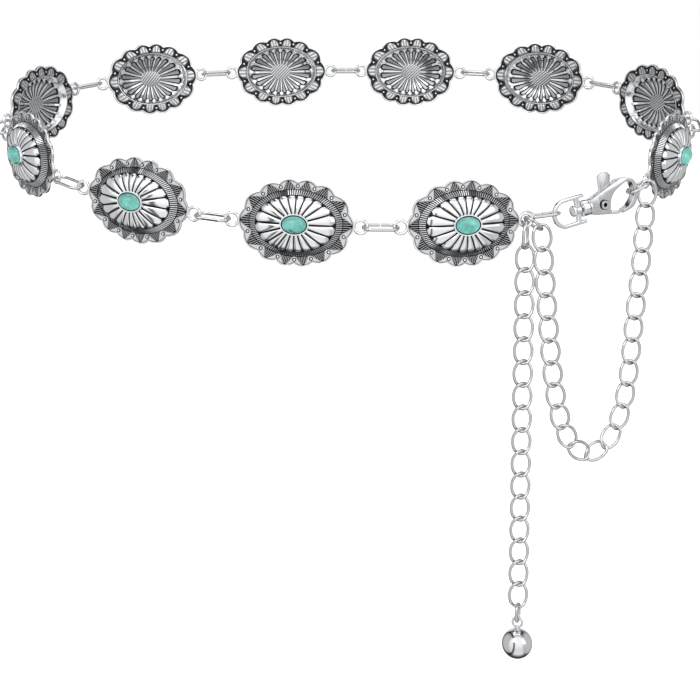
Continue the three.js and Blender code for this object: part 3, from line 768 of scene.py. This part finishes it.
def concho_rows():
    """The cast surface from the pad of the back, over the edge, to the stone's seat."""
    pad = [(lerp_oval(PAD_OVAL, (0, 0), 0.08), PAD_DEPTH - 0.7, PAD_TARNISH),
           (PAD_OVAL, PAD_DEPTH - 0.65, PAD_TARNISH)]
    dish = [(lerp_oval(RECESS_OVAL, DISH_OVAL, share), z, DISH_TARNISH)
            for share, z in ((0.2, STEP_DEPTH - 0.7), (0.5, 1.3), (0.8, 0.5))]
    dish += [(DISH_OVAL, 0.05, 0.05), (grow_oval(DISH_OVAL, 0.5), 0.02, 0.1)]
    rim = [(0.03, 0.0, RIM_WIDTH), (0.0, 0.0, 0.28), (0.08, 0.0, 0.08), (0.3, 0.05),
           (FLANGE - 0.3, 0.05), (FLANGE - 0.08, 0.0, 0.08), (FLANGE, 0.0, 0.28),
           (FLANGE - 0.04, 0.1, RIM_WIDTH)]
    ring = [(GROOVE_OVAL, FLANGE - 0.55, 1.0),
            (grow_oval(GROOVE_OVAL, -0.3), FLANGE - 0.5, 1.0),
            (grow_oval(GROOVE_OVAL, -0.5), RING_FOOT, RING_TARNISH),
            (lerp_oval(GROOVE_OVAL, PETAL_OVAL, 0.5), lerp(RING_FOOT, RING_TOP, 0.5), RING_TARNISH),
            (grow_oval(PETAL_OVAL, 0.3), RING_TOP, RING_TARNISH),
            (grow_oval(PETAL_OVAL, 0.1), RING_TOP + 0.05, 1.0)]
    inner = grow_oval(BEZEL_OVAL, -2 * BEZEL_WALL)
    # The bezel's inner wall darkens from 0.6 to black at the seat: painted shade in the gap round the
    # stone
    bezel = [(BEZEL_OVAL, BEZEL_FOOT, 0.3),
             (BEZEL_OVAL, BEZEL_RIM - 0.25, 0.0),
             (grow_oval(BEZEL_OVAL, -0.25), BEZEL_RIM, 0.0),
             (grow_oval(inner, 0.25), BEZEL_RIM, 0.0),
             (inner, BEZEL_RIM - 0.25, 0.6),
             (inner, SEAT, 1.0)]
    return [
        *(oval_row(*row) for row in pad),
        *(recess_row(share) for share in reversed(RECESS_SHARES)),
        *(oval_row(*row) for row in dish),
        *(lobe_pad_row(k / LOBE_ROWS) for k in range(LOBE_ROWS, -1, -1)),
        *(flange_row(0, *row) for row in rim),
        *(hatch_field_row(k / FIELD_ROWS * 0.98) for k in range(FIELD_ROWS + 1)),
        *(oval_row(*row) for row in ring),
        *(petal_row(k / PETAL_ROWS) for k in range(PETAL_ROWS + 1)),
        *(oval_row(*row) for row in bezel),
    ]


def polar(reach, angle, z):
    return Vector((reach * math.cos(angle), reach * math.sin(angle), z))


def add_bar(bm, start, end, width, raise_by, layer, tarnish_and_shade):
    """A small ridge from start to end that stands raise_by above the surface."""
    middle = (start + end) / 2
    x = (end - start).normalized()
    y = UP.cross(x).normalized()
    size = Matrix.Diagonal(((end - start).length, width, 2 * raise_by, 1))
    place = axes_matrix(x, y, x.cross(y), middle) @ size
    made = bmesh.ops.create_cube(bm, size=1.0, matrix=place)["verts"]
    top = [v for v in made if (place.inverted() @ v.co).z > 0]
    centre = sum((v.co for v in top), Vector()) / len(top)
    for v in top:
        v.co += y * (centre - v.co).dot(y) * BAR_TAPER
    for v in made:
        v[layer] = tarnish_and_shade


def even_angles(oval, count):
    """Angles that share out the oval's edge into equal lengths."""
    steps = 1440
    turns = [math.tau * k / steps for k in range(steps + 1)]
    points = [polar(oval_reach(oval, turn), turn, 0) for turn in turns]
    pieces = ((b - a).length for a, b in zip(points, points[1:]))
    lengths = list(accumulate(pieces, initial=0.0))
    angles = []
    k = 0
    for n in range(count):
        wanted = (n + 0.5) / count * lengths[-1]
        while lengths[k + 1] < wanted:
            k += 1
        share = (wanted - lengths[k]) / (lengths[k + 1] - lengths[k])
        angles.append(math.tau * (k + share) / steps)
    return angles


def add_ticks(bm, layer):
    low = grow_oval(GROOVE_OVAL, -0.6)
    high = grow_oval(PETAL_OVAL, 0.4)
    for angle in even_angles(low, TICKS):
        start = polar(oval_reach(low, angle), angle, RING_FOOT)
        end = polar(oval_reach(high, angle), angle, RING_TOP)
        add_bar(bm, start, end, TICK_WIDTH, TICK_RAISE, layer, 0.0)


def add_hatches(bm, layer):
    for k in range(SCALLOPS):
        for n in range(HATCHES):
            off = (n - (HATCHES - 1) / 2) / (HATCHES / 2)
            angle = (k + 0.5 * HATCH_SPREAD * off) * LOBE
            inner = oval_reach(GROOVE_OVAL, angle) + 0.1
            outer = scallop_reach(angle) - RIM_WIDTH - 0.25
            end = lerp(inner, outer, 0.95 - 0.82 * abs(off))
            if end - inner > 0.3:
                start, end = (polar(reach, angle, FLANGE - FIELD_DEPTH) for reach in (inner, end))
                add_bar(bm, start, end, HATCH_WIDTH, HATCH_RAISE, layer, BAR_TARNISH)


def add_ring_dots(bm, layer, z, side):
    """A dot in a sunk ring between each two lobes, on the face that side points out of."""
    turns = [math.tau * n / DOT_SIDES for n in range(DOT_SIDES)]
    for k in range(SCALLOPS):
        angle = (k + 0.5) * LOBE
        reach = lerp(oval_reach(GROOVE_OVAL, angle), scallop_reach(angle), DOT_AT_SHARE)
        centre = polar(reach, angle, z)
        ring = bmesh.ops.create_circle(bm, segments=DOT_SIDES, radius=DOT_RADIUS)["verts"]
        edges = edges_between(ring)
        bmesh.ops.edgeloop_fill(bm, edges=edges)
        for number, (share, rise, tarnish_and_shade) in enumerate(DOT_PROFILE):
            if number:
                ring, edges = extrude_loop(bm, ring, edges)
            for turn, vert in zip(turns, ring):
                vert.co = centre + polar(DOT_RADIUS * share, turn, side * rise)
                vert[layer] = tarnish_and_shade
        bmesh.ops.edgeloop_fill(bm, edges=edges)


def make_concho_mesh():
    bm = bmesh.new()
    tarnish_and_shade = bm.verts.layers.float.new("tarnish_and_shade")
    brushed = bm.verts.layers.float.new("brushed")
    plan = bm.loops.layers.uv.new("plan")
    ring = bmesh.ops.create_circle(bm, segments=COLUMNS, radius=1.0)["verts"]
    edges = edges_between(ring)
    inner_back = edges
    for number, row in enumerate(concho_rows()):
        if number:
            ring, edges = extrude_loop(bm, ring, edges)
        for column, vert in enumerate(ring):
            angle, reach, z, dark = row(column)
            vert.co = polar(reach, angle, z)
            vert[tarnish_and_shade] = dark
            vert[brushed] = 1.0 if number < 2 else 0.0
    bmesh.ops.edgeloop_fill(bm, edges=inner_back)
    bmesh.ops.edgeloop_fill(bm, edges=edges)
    add_ticks(bm, tarnish_and_shade)
    add_hatches(bm, tarnish_and_shade)
    add_ring_dots(bm, tarnish_and_shade, FLANGE - FIELD_DEPTH, 1)
    add_ring_dots(bm, tarnish_and_shade, FIELD_DEPTH, -1)
    for side in (-1, 1):
        place = Matrix.Translation((side * EYE_AT, 0, FLANGE / 2))
        add_wire_ring(bm, circle_line(EYE_RADIUS), WIRE, place, steps=32)
    bmesh.ops.recalc_face_normals(bm, faces=bm.faces)
    for face in bm.faces:
        for loop in face.loops:
            loop[plan].uv = loop.vert.co.xy
    return mesh_of("concho", bm)


def make_stone_mesh():
    length, width = grow_oval(BEZEL_OVAL, -2 * BEZEL_WALL - STONE_ROOM)
    foot = SEAT + 0.5
    rise = SEAT + GAP + STONE_RISE - foot
    bm = bmesh.new()
    for vert in bmesh.ops.create_uvsphere(bm, u_segments=48, v_segments=24, radius=1.0)["verts"]:
        x, y, z = vert.co
        flatten = 1 if z > 0 else 0.15
        vert.co = (x * length / 2, y * width / 2, foot + z * rise * flatten)
    return mesh_of("stone", bm)


def make_conchos():
    concho = make_concho_mesh()
    stone = make_stone_mesh()
    for k, place in enumerate(concho_places, 1):
        finish_mesh(f"cast_concho_{k:02d}", concho.copy(), CAST_SILVER,
                    [f"concho_{k:02d}"], place)
        finish_mesh(f"set_stone_{k:02d}", stone.copy(), TURQUOISE, [f"stone_{k:02d}"], place)


def make_wire_links():
    link = ring_mesh("link", oval_line(LINK_LENGTH, LINK_WIDTH, WIRE), WIRE, seam=LINK_SAW_CUT)
    for k, place in enumerate(link_places, 1):
        finish_mesh(f"wire_link_{k:02d}", link.copy(), WIRE_SILVER, [f"link_{k:02d}"], place)


# Junction of the first eye

junction_line = turned(JUNCTION_DROP)
junction_end_radius = (JUNCTION_WIDTH - WIRE) / 2
junction_half = (JUNCTION_LENGTH - WIRE) / 2
junction_middle = in_plane(*JUNCTION_SEAT) + junction_line * junction_half


def junction_point(end_sign, turn, side):
    turn = math.radians(turn)
    along = end_sign * (junction_half - junction_end_radius * (1 - math.cos(turn)))
    aside = side * junction_end_radius * math.sin(turn)
    return junction_middle + junction_line * along + n_axis * aside


def make_clasp_rings():
    """The jump ring round the junction ring, and the link from it to the D ring."""
    radius = (JUMP_RING_WIDTH - JUMP_WIRE) / 2
    normal = direction(*JUMP_RING_LEAN)
    pull = flattened(direction(*JUMP_RING_PULL), normal)
    slack = radius - (JUMP_WIRE + WIRE) / 2 - GAP
    centre = junction_point(-1, JUMP_RING_AT, -1) + pull * slack
    jump_ring = ring_mesh("jump_ring_wire", circle_line(radius), JUMP_WIRE, seam=JUMP_SAW_CUT)
    finish_mesh("open_jump_ring", jump_ring, WIRE_SILVER, ["jump_ring"],
                axes_matrix(pull, normal.cross(pull), normal, centre))
    jump_pivot = centre + flattened(d_pivot - centre, normal) * radius
    line = (d_pivot - jump_pivot).normalized()
    jump_tip = tip_beyond(JUMP_WIRE, JUMP_WIRE, CLASP_LINK_WIDTH, WIRE)
    d_tip = tip_beyond(D_BOW, D_THICKNESS, CLASP_LINK_WIDTH, WIRE)
    span = (d_pivot - jump_pivot).length + jump_tip + d_tip
    z = line.cross(n_axis).normalized()
    outline = oval_line(span + WIRE, CLASP_LINK_WIDTH, WIRE)
    finish_mesh("hook_link", ring_mesh("clasp_link_wire", outline, WIRE, seam=RING_SAW_CUT),
                WIRE_SILVER, ["clasp_link"],
                axes_matrix(line, z.cross(line), z, jump_pivot + line * (span / 2 - jump_tip)))


# Chains

def cubic(p1, p2, t1, t2, share):
    """A point of the curve from p1 to p2 that leaves along t1 and arrives along t2."""
    return (p1 + t1 * share + (3 * (p2 - p1) - 2 * t1 - t2) * share ** 2
            + (2 * (p1 - p2) + t1 + t2) * share ** 3)


def span_at(points, t):
    """The last point, the span that t, from 0 to 1, lies in, and the share of it."""
    last = len(points) - 1
    position = min(t, 1.0) * last
    k = min(int(position), last - 1)
    return last, k, position - k


def route_point(points, t):
    """Centripetal curve through the points, t from 0 to 1."""
    last, k, share = span_at(points, t)
    p1, p2 = points[k], points[k + 1]
    p0 = points[k - 1] if k else 2 * p1 - p2
    p3 = points[k + 2] if k + 2 <= last else 2 * p2 - p1
    d0, d1, d2 = ((b - a).length ** 0.5 for a, b in ((p0, p1), (p1, p2), (p2, p3)))
    t1 = ((p1 - p0) / d0 - (p2 - p0) / (d0 + d1) + (p2 - p1) / d1) * d1
    t2 = ((p2 - p1) / d1 - (p3 - p1) / (d1 + d2) + (p3 - p2) / d2) * d1
    return cubic(p1, p2, t1, t2, share)


def beyond(points, t):
    if t <= 1:
        return route_point(points, t)
    end = route_point(points, 1.0)
    tangent = (end - route_point(points, 0.9999)).normalized()
    return end + tangent * (t - 1) * 10 * DRAPE_COUNT * CHAIN_PITCH


def chain_joints(points, count):
    joints = [points[0]]
    t = 0.0
    for k in range(count):
        start = joints[k]
        t = bisect(t, t + 0.3, lambda reach: (beyond(points, reach) - start).length < CHAIN_PITCH)
        joints.append(beyond(points, t))
    return joints, t


def chain_link_place(top, bottom, turn):
    y = (top - bottom).normalized()
    x = y.cross(n_axis).normalized()
    z = x.cross(y)
    x = x * math.cos(turn) - z * math.sin(turn)
    return axes_matrix(x, y, x.cross(y), (top + bottom) / 2)


CROSSING = (WIRE - FUSE) / 2


def make_drape():
    end_radius = (LINK_WIDTH - WIRE) / 2
    shoulder = math.radians(LAST_SHOULDER)
    bend_tip = tip_beyond(HOOK_WIRE, HOOK_THICKNESS, LINK_WIDTH, WIRE)
    line = (last_pivot - hook_pivot).normalized()
    span = (last_pivot - hook_pivot).length + bend_tip + WIRE + GAP
    z = line.cross(n_axis).normalized()
    side = z.cross(line)
    middle = hook_pivot + line * (span / 2 - bend_tip)
    start = middle + line * (span / 2 - end_radius * (1 - math.cos(shoulder)))
    start = start + side * end_radius * math.sin(shoulder) + UP * CROSSING
    end = junction_point(1, JUNCTION_SHOULDER, 1) + UP * CROSSING
    n_start = (start - first_eye).dot(n_axis)
    n_end = (end - first_eye).dot(n_axis)

    def route(depth):
        points = []
        for k, (along, down) in enumerate(DRAPE_ROUTE):
            share = (k + 1) / (len(DRAPE_ROUTE) + 1)
            points.append(in_plane(along * span_length, -down * depth, lerp(n_start, n_end, share)))
        return [start, *points, end]

    length = DRAPE_COUNT * CHAIN_PITCH
    depth = bisect(length / 5, length / 1.5,
                   lambda size: chain_joints(route(size), DRAPE_COUNT)[1] > 1)
    joints = chain_joints(route(depth), DRAPE_COUNT)[0]
    link = ring_mesh("curb_link", curb_line(CHAIN_PITCH, CHAIN_WIDTH, WIRE, 1), WIRE)
    last_link = ring_mesh("last_link", oval_line(span + WIRE, LINK_WIDTH, WIRE), WIRE, seam=LINK_SAW_CUT)
    junction_outline = oval_line(JUNCTION_LENGTH, JUNCTION_WIDTH, WIRE)
    bm = bmesh.new()
    add_copy(bm, last_link, axes_matrix(line, side, z, middle))
    add_copy(bm, ring_mesh("junction", junction_outline, WIRE, seam=LINK_SAW_CUT),
             axes_matrix(junction_line, n_axis, junction_line.cross(n_axis), junction_middle))
    for top, bottom in zip(joints, joints[1:]):
        turn = -math.radians(CHAIN_TURN) * (top - bottom).normalized().z
        add_copy(bm, link, chain_link_place(top, bottom, turn))
    finish_piece("drape_links", bm, WIRE_SILVER, "chain_drape")


tail_top = in_plane(TAIL_SEAT[0], TAIL_SEAT[1] - CROSSING)
end_ring_x = direction(math.cos(math.radians(TAIL_TURN)), 0, math.sin(math.radians(TAIL_TURN)))
end_ring_top = tail_top + UP * (CROSSING - CHAIN_PITCH * TAIL_COUNT)
end_ring_half = (END_RING_LENGTH - WIRE) / 2


def make_tail():
    link = ring_mesh("tail_link", curb_line(CHAIN_PITCH, CHAIN_WIDTH, WIRE, -1), WIRE)
    bm = bmesh.new()
    for k in range(TAIL_COUNT):
        top = tail_top - UP * CHAIN_PITCH * k
        turn = -math.radians(CHAIN_TURN if k else TAIL_TURN)
        add_copy(bm, link, chain_link_place(top, top - UP * CHAIN_PITCH, turn))
    end_ring_outline = oval_line(END_RING_LENGTH, END_RING_WIDTH, WIRE)
    add_copy(bm, ring_mesh("end_ring", end_ring_outline, WIRE, seam=RING_SAW_CUT),
             axes_matrix(UP, end_ring_x, UP.cross(end_ring_x), end_ring_top - UP * end_ring_half))
    finish_piece("tail_links", bm, WIRE_SILVER, "chain_tail")


def lathe(bm, profile, place, steps=LATHE_STEPS):
    """Turns a profile of (radius, along) about the place's own Y axis."""
    before = set(bm.verts)
    verts = [bmesh.ops.create_vert(bm, co=(radius, along, 0))["vert"][0] for radius, along in profile]
    edges = [bm.edges.new(pair) for pair in zip(verts, verts[1:])]
    bmesh.ops.spin(bm, geom=verts + edges, cent=(0, 0, 0), axis=(0, 1, 0),
                   angle=math.tau, steps=steps, use_merge=True)
    made = [vert for vert in bm.verts if vert not in before]
    bmesh.ops.remove_doubles(bm, verts=made, dist=0.0005)
    made = [vert for vert in made if vert.is_valid]
    bmesh.ops.transform(bm, matrix=place, verts=made)
    return made


def make_ball():
    eye_radius = (BALL_EYE_WIDTH - BALL_WIRE) / 2
    eye_z = (WIRE + BALL_WIRE) / 2 + GAP - eye_radius
    neck_top = eye_z - eye_radius
    ball_radius = BALL_DIAMETER / 2
    ball_z = neck_top - BALL_NECK / 2 - ball_radius
    bm = bmesh.new()
    bmesh.ops.create_uvsphere(bm, u_segments=64, v_segments=32, radius=ball_radius,
                              matrix=Matrix.Translation((0, 0, ball_z)))
    neck_foot = neck_top - BALL_NECK
    neck = [(0, neck_foot - 0.3), (1.7, neck_foot - 0.1), (1.5, neck_foot + 0.5),
            (0.85, neck_top - 0.6), (0.75, neck_top + 0.2), (0, neck_top + 0.4)]
    lathe(bm, neck, Matrix.Rotation(math.pi / 2, 4, "X"), 24)
    upright = Matrix.Translation((0, 0, eye_z)) @ Matrix.Rotation(math.pi / 2, 4, "X")
    add_wire_ring(bm, circle_line(eye_radius), BALL_WIRE, upright, steps=32)
    hinge = end_ring_top - UP * 2 * end_ring_half
    place = axes_matrix(-UP.cross(end_ring_x), end_ring_x, UP, hinge)
    finish_piece("polished_ball", bm, MIRROR_SILVER, "ball_drop", place, "ball")


# Hook. Its axes: x from the D ring's bow to the bend, y up, z away from the wearer

crossbar_end = CROSSBAR_AT + CROSSBAR_DEPTH
barrel_start = crossbar_end + GAP
groove_start = barrel_start + BARREL_LENGTH
collar_start = groove_start + BARREL_GROOVE_WIDTH
body_start = collar_start + COLLAR_LENGTH
bend_right = HOOK_SPAN + HOOK_WIRE / 2
hook_length = bend_right - body_start
along_hook = Matrix.Translation((0, -D_AXIS_DROP, 0)) @ Matrix.Rotation(-math.pi / 2, 4, "Z")


def on_hook(point):
    return Vector((body_start + point[0] * hook_length, point[1] * HOOK_HEIGHT, 0))


def on_bend(inward, up):
    return (1 - inward / hook_length, up)


def smooth_edge(rows, count):
    """A curve of count steps through the rows, in shares of the hook."""
    points = [on_hook(row) for row in rows]
    made = []
    for n in range(count + 1):
        last, k, share = span_at(points, n / count)
        p0, p1, p2, p3 = (points[min(max(k + step, 0), last)] for step in (-1, 0, 1, 2))
        made.append(cubic(p1, p2, (p2 - p0) / 2, (p3 - p1) / 2, share))
    return made


def arc(centre, radius, start, end, count):
    """Points from the start angle to the end angle, in degrees, about a centre."""
    angles = [math.radians(lerp(start, end, k / count)) for k in range(count + 1)]
    return [Vector((centre[0] + radius * math.cos(angle), centre[1] + radius * math.sin(angle), 0))
            for angle in angles]


def plate_mesh(name, outline, thickness, holes=()):
    """A flat plate between z -thickness/2 and thickness/2, with holes."""
    bm = bmesh.new()
    edges = []
    for loop in (outline, *holes):
        verts = [bmesh.ops.create_vert(bm, co=point)["vert"][0] for point in loop]
        edges += [bm.edges.new((a, b)) for a, b in zip(verts, verts[1:] + verts[:1])]
    bmesh.ops.triangle_fill(bm, edges=edges, use_beauty=True)
    bmesh.ops.dissolve_limit(bm, angle_limit=0.02, verts=bm.verts, edges=bm.edges,
                             use_dissolve_boundaries=False)
    made = bmesh.ops.extrude_face_region(bm, geom=bm.faces[:])["geom"]
    top = [item for item in made if isinstance(item, bmesh.types.BMVert)]
    bmesh.ops.translate(bm, vec=(0, 0, thickness), verts=top)
    bmesh.ops.translate(bm, vec=(0, 0, -thickness / 2), verts=bm.verts)
    bmesh.ops.recalc_face_normals(bm, faces=bm.faces)
    return mesh_of(name, bm)


def rounded(mesh, bevel, segments=3, cutter=None):
    """The mesh with the cutter taken away and its edges rounded."""
    work = bpy.data.objects.new("work", mesh)
    tools = [work]
    if cutter:
        tools.append(bpy.data.objects.new("cutter", cutter))
        modifier = work.modifiers.new("cut", "BOOLEAN")
        modifier.operation = "DIFFERENCE"
        modifier.solver = "EXACT"
        modifier.object = tools[1]
    modifier = work.modifiers.new("round", "BEVEL")
    modifier.width = bevel
    modifier.segments = segments
    modifier.limit_method = "ANGLE"
    modifier.angle_limit = math.radians(35)
    for tool in tools:
        bpy.context.scene.collection.objects.link(tool)
    graph = bpy.context.evaluated_depsgraph_get()
    graph.update()
    made = bpy.data.meshes.new_from_object(work.evaluated_get(graph))
    for tool in tools:
        bpy.data.objects.remove(tool)
    return made


def rivet_circle(radius):
    last = 360 - 360 / RIVET_SIDES
    return arc(on_hook(RIVET_AT), radius, 0, last, RIVET_SIDES - 1)


def darken_faces(bm, layer, thickness, tarnish_and_shade):
    """Tarnishes the two flat faces of a plate and leaves its rounded edges bright."""
    for vert in bm.verts:
        if abs(abs(vert.co.z) - thickness / 2) < 0.01:
            vert[layer] = tarnish_and_shade


def make_d_ring():
    radius = D_WIDTH / 2
    bow_centre = (radius - D_BOW / 2, -D_AXIS_DROP)
    ear_end = crossbar_end + EAR_LENGTH
    ear_inner = radius - EAR_WIDTH
    outline = arc(bow_centre, radius, 90, 270, BOW_STEPS)
    outline += [Vector((x, y - D_AXIS_DROP, 0)) for x, y in [
        (ear_end, -radius), (ear_end, -ear_inner), (crossbar_end, -ear_inner),
        (crossbar_end, ear_inner), (ear_end, ear_inner), (ear_end, radius)]]
    hole = arc(bow_centre, radius - D_BOW, 90, 270, BOW_STEPS)
    hole += [Vector((CROSSBAR_AT, y - D_AXIS_DROP, 0)) for y in (D_BOW - radius, radius - D_BOW)]
    bm = bmesh.new()
    bm.from_mesh(rounded(plate_mesh("d_plate", outline, D_THICKNESS, [hole]), 0.5, 4))
    hole_radius = POST_RADIUS + GAP
    sleeve = hole_radius + 0.6
    lathe(bm, [(hole_radius, CROSSBAR_AT), (sleeve, CROSSBAR_AT), (sleeve, crossbar_end),
               (hole_radius, crossbar_end), (hole_radius, CROSSBAR_AT)],
          along_hook, 24)
    finish_piece("bright_d_ring", bm, CAST_SILVER, "d_ring", hook_place)


def make_hook():
    knob_start = CROSSBAR_AT - GAP - KNOB_LENGTH
    profile = [
        (0, knob_start), (KNOB_RADIUS * 0.6, knob_start), (KNOB_RADIUS * 0.9, knob_start + 0.3),
        (KNOB_RADIUS, knob_start + KNOB_LENGTH / 2), (KNOB_RADIUS * 0.85, knob_start + KNOB_LENGTH),
        (POST_RADIUS, knob_start + KNOB_LENGTH), (POST_RADIUS, barrel_start),
        (BARREL_RADIUS * 0.8, barrel_start), (BARREL_RADIUS * 0.95, barrel_start + 0.25),
        (BARREL_RADIUS, barrel_start + 0.7), (BARREL_RADIUS, groove_start - 0.12),
        (BARREL_RADIUS - 0.12, groove_start), (BARREL_GROOVE_RADIUS, groove_start),
        (BARREL_GROOVE_RADIUS, collar_start), (COLLAR_RADIUS - 0.12, collar_start),
        (COLLAR_RADIUS, collar_start + 0.12), (COLLAR_RADIUS, body_start - 0.45),
        (COLLAR_RADIUS - 0.2, body_start - 0.2), (HOOK_THICKNESS / 2 - 0.1, body_start + 0.4),
        (0, body_start + 0.4),
    ]
    outline = smooth_edge([
        (0, 0.206), (0.219, 0.46), (0.468, 0.778), (0.687, 1), (0.884, 0.857), on_bend(0.5, 0.444),
        on_bend(0, 0.032), on_bend(0.9, -0.508), on_bend(3.3, -1), (0.626, -1.206)], 60)
    outline += smooth_edge([
        (0.643, -0.984), (0.748, -0.873), on_bend(HOOK_WIRE + 1.2, -0.46), on_bend(HOOK_WIRE, 0.032),
        on_bend(HOOK_WIRE + 1.0, 0.571), (0.801, 0.73), (0.626, 0.508), (0.503, 0.27), (0.416, -0.159),
        (0.381, -0.73)], 54)
    outline += [on_hook(point) for point in [
        (0.346, -1.048), (0.214, -0.937), (0.088, -0.857), (0, -0.778)]]
    slot = [on_hook(point) for point in [
        (0.039, -0.667), (0.039, 1.27), (0.495, 1.27), (0.495, 0.302), (0.446, -1.429), (0.271, -1.429),
        (0.245, -0.778)]]
    bored = plate_mesh("hook_plate", outline, HOOK_THICKNESS, [rivet_circle(RIVET_SHANK + GAP)])
    slot_cutter = plate_mesh("hook_slot", slot, SLOT_WIDTH, [rivet_circle(RIVET_SHANK / 2)])
    body = rounded(bored, 0.42, cutter=slot_cutter)
    bm = bmesh.new()
    tarnish_and_shade = bm.verts.layers.float.new("tarnish_and_shade")
    bm.from_mesh(body)
    darken_faces(bm, tarnish_and_shade, HOOK_THICKNESS, HOOK_FACE_TARNISH)
    for vert in lathe(bm, profile, along_hook):
        radius = math.hypot(vert.co.y + D_AXIS_DROP, vert.co.z)
        beside = groove_start - 0.05 < vert.co.x < collar_start + 0.05
        in_groove = beside and radius < BARREL_GROOVE_RADIUS + 0.15
        vert[tarnish_and_shade] = BARREL_GROOVE_TARNISH if in_groove else 0.0
    finish_piece("snap_hook", bm, CAST_SILVER, "swivel_hook", hook_place)


def make_lever():
    rivet = on_hook(RIVET_AT)
    reach = GATE_REACH_SHARE * hook_length
    gate_end = arc(rivet, reach, -37, -30, 1)
    hub = arc(rivet, HUB_RADIUS, 165, 255, 12)
    tab_edge = [on_hook(point) for point in [(0.289, 1.587), (0.241, 1.476), (0.232, 0.683)]]
    gate_root = [on_hook(point) for point in [(0.398, -1.095), (0.403, -0.81)]]
    tab_front = [on_hook(point) for point in [
        (0.359, -0.19), (0.403, 0.19), (0.464, 0.841), (0.508, 1.365), (0.46, 1.603), (0.354, 1.683)]]
    bm = bmesh.new()
    tarnish_and_shade = bm.verts.layers.float.new("tarnish_and_shade")
    bored = plate_mesh("lever_plate", [*tab_edge, *hub, *gate_root, *tab_front], LEVER_THICKNESS,
                       [rivet_circle(RIVET_SHANK + GAP)])
    bm.from_mesh(rounded(bored, 0.28))
    darken_faces(bm, tarnish_and_shade, LEVER_THICKNESS, LEVER_FACE_TARNISH)
    gate = plate_mesh("gate_plate", [gate_root[0], *gate_end, gate_root[1]], GATE_THICKNESS)
    bm.from_mesh(rounded(gate, 0.35))
    finish_piece("thumb_lever", bm, CAST_SILVER, "lever", hook_place, "lever")


def make_rivet():
    inner = HOOK_THICKNESS / 2 + GAP
    outer = inner + RIVET_HEAD_THICKNESS
    head = [(RIVET_SHANK, inner), (RIVET_HEAD, inner), (RIVET_HEAD, outer - 0.35),
            (RIVET_HEAD - 0.35, outer), (RIVET_BORE + 0.2, outer), (RIVET_BORE, outer - 0.2)]
    far_head = [(radius, -along) for radius, along in reversed(head)]
    centre = on_hook(RIVET_AT)
    bm = bmesh.new()
    tarnish_and_shade = bm.verts.layers.float.new("tarnish_and_shade")
    place = Matrix.Translation(centre) @ Matrix.Rotation(math.pi / 2, 4, "X")
    # The bore and the heads' rims are painted black, painted shade in the hole and under the heads; the
    # heads' faces take RIVET_HEAD_TARNISH
    for vert in lathe(bm, [*far_head, *head, (RIVET_BORE, 0), far_head[0]], place, 32):
        off = vert.co - centre
        in_head = RIVET_BORE + 0.05 < math.hypot(off.x, off.y) < RIVET_HEAD - 0.1
        vert[tarnish_and_shade] = RIVET_HEAD_TARNISH if in_head else 1.0
    finish_piece("hollow_rivet", bm, CAST_SILVER, "rivet", hook_place)


# Studio

def make_camera():
    data = bpy.data.cameras.new("camera")
    data.lens = CAMERA_LENS
    data.sensor_width = 36
    data.shift_y = CAMERA_SHIFT
    camera = bpy.data.objects.new("camera", data)
    camera.location = Vector(CAMERA_AT) * MM
    camera.rotation_euler = (math.radians(90 - CAMERA_PITCH), 0, 0)
    bpy.context.scene.collection.objects.link(camera)
    bpy.context.scene.camera = camera


def make_area_lights():
    for name, at, size, power in AREA_LIGHTS:
        data = bpy.data.lights.new(name, "AREA")
        data.shape = "RECTANGLE"
        data.size, data.size_y = size
        data.energy = power
        light = bpy.data.objects.new(name, data)
        light.location = at
        light.rotation_euler = (-Vector(at)).to_track_quat("-Z", "Y").to_euler()
        bpy.context.scene.collection.objects.link(light)


def make_world():
    world = bpy.data.worlds.new("studio")
    world.use_nodes = True
    tree = world.node_tree
    tree.nodes.clear()
    generated = add_node(tree, "ShaderNodeTexCoord").outputs["Generated"]
    split = add_node(tree, "ShaderNodeSeparateXYZ", {"Vector": generated})

    def level_along(axis, stops):
        spread = add_node(tree, "ShaderNodeMapRange", {"Value": split.outputs[axis], "From Min": -1.0})
        levels = [((at + 1) / 2, (level,) * 3) for at, level in stops]
        return add_ramp(tree, levels, spread.outputs["Result"])

    light = 1.0
    for axis, stops in STUDIO_LIGHT.items():
        light = add_math(tree, "MULTIPLY", level_along(axis, stops), light)
    light = add_math(tree, "MAXIMUM", light, level_along("X", SIDE_LIGHT))
    white = (1, 1, 1, 1)
    studio = add_node(tree, "ShaderNodeBackground", {"Color": white, "Strength": light})
    backdrop = add_node(tree, "ShaderNodeBackground", {"Color": white})
    seen = add_node(tree, "ShaderNodeLightPath").outputs["Is Camera Ray"]
    inputs = {"Fac": seen, 1: studio.outputs["Background"], 2: backdrop.outputs["Background"]}
    mix = add_node(tree, "ShaderNodeMixShader", inputs)
    add_node(tree, "ShaderNodeOutputWorld", {"Surface": mix.outputs["Shader"]})
    bpy.context.scene.world = world


def make_floor():
    bm = bmesh.new()
    bmesh.ops.create_grid(bm, x_segments=1, y_segments=1, size=FLOOR_SIZE)
    bmesh.ops.translate(bm, vec=(0, 0, FLOOR_Z), verts=bm.verts)
    mesh = mesh_of("floor", bm)
    settings = {"Base Color": (0.9, 0.9, 0.9, 1), "Roughness": 0.9,
                "Emission Color": (1, 1, 1, 1), "Emission Strength": FLOOR_GLOW}
    mesh.materials.append(new_material("pale_floor", settings)[0])
    floor = bpy.data.objects.new("floor", mesh)
    bpy.context.scene.collection.objects.link(floor)
    floor.visible_glossy = False


make_conchos()
make_wire_links()
make_clasp_rings()
make_drape()
make_tail()
make_ball()
make_d_ring()
make_hook()
make_lever()
make_rivet()
make_camera()
make_world()
make_floor()
make_area_lights()
bpy.context.scene.view_settings.view_transform = "Standard"
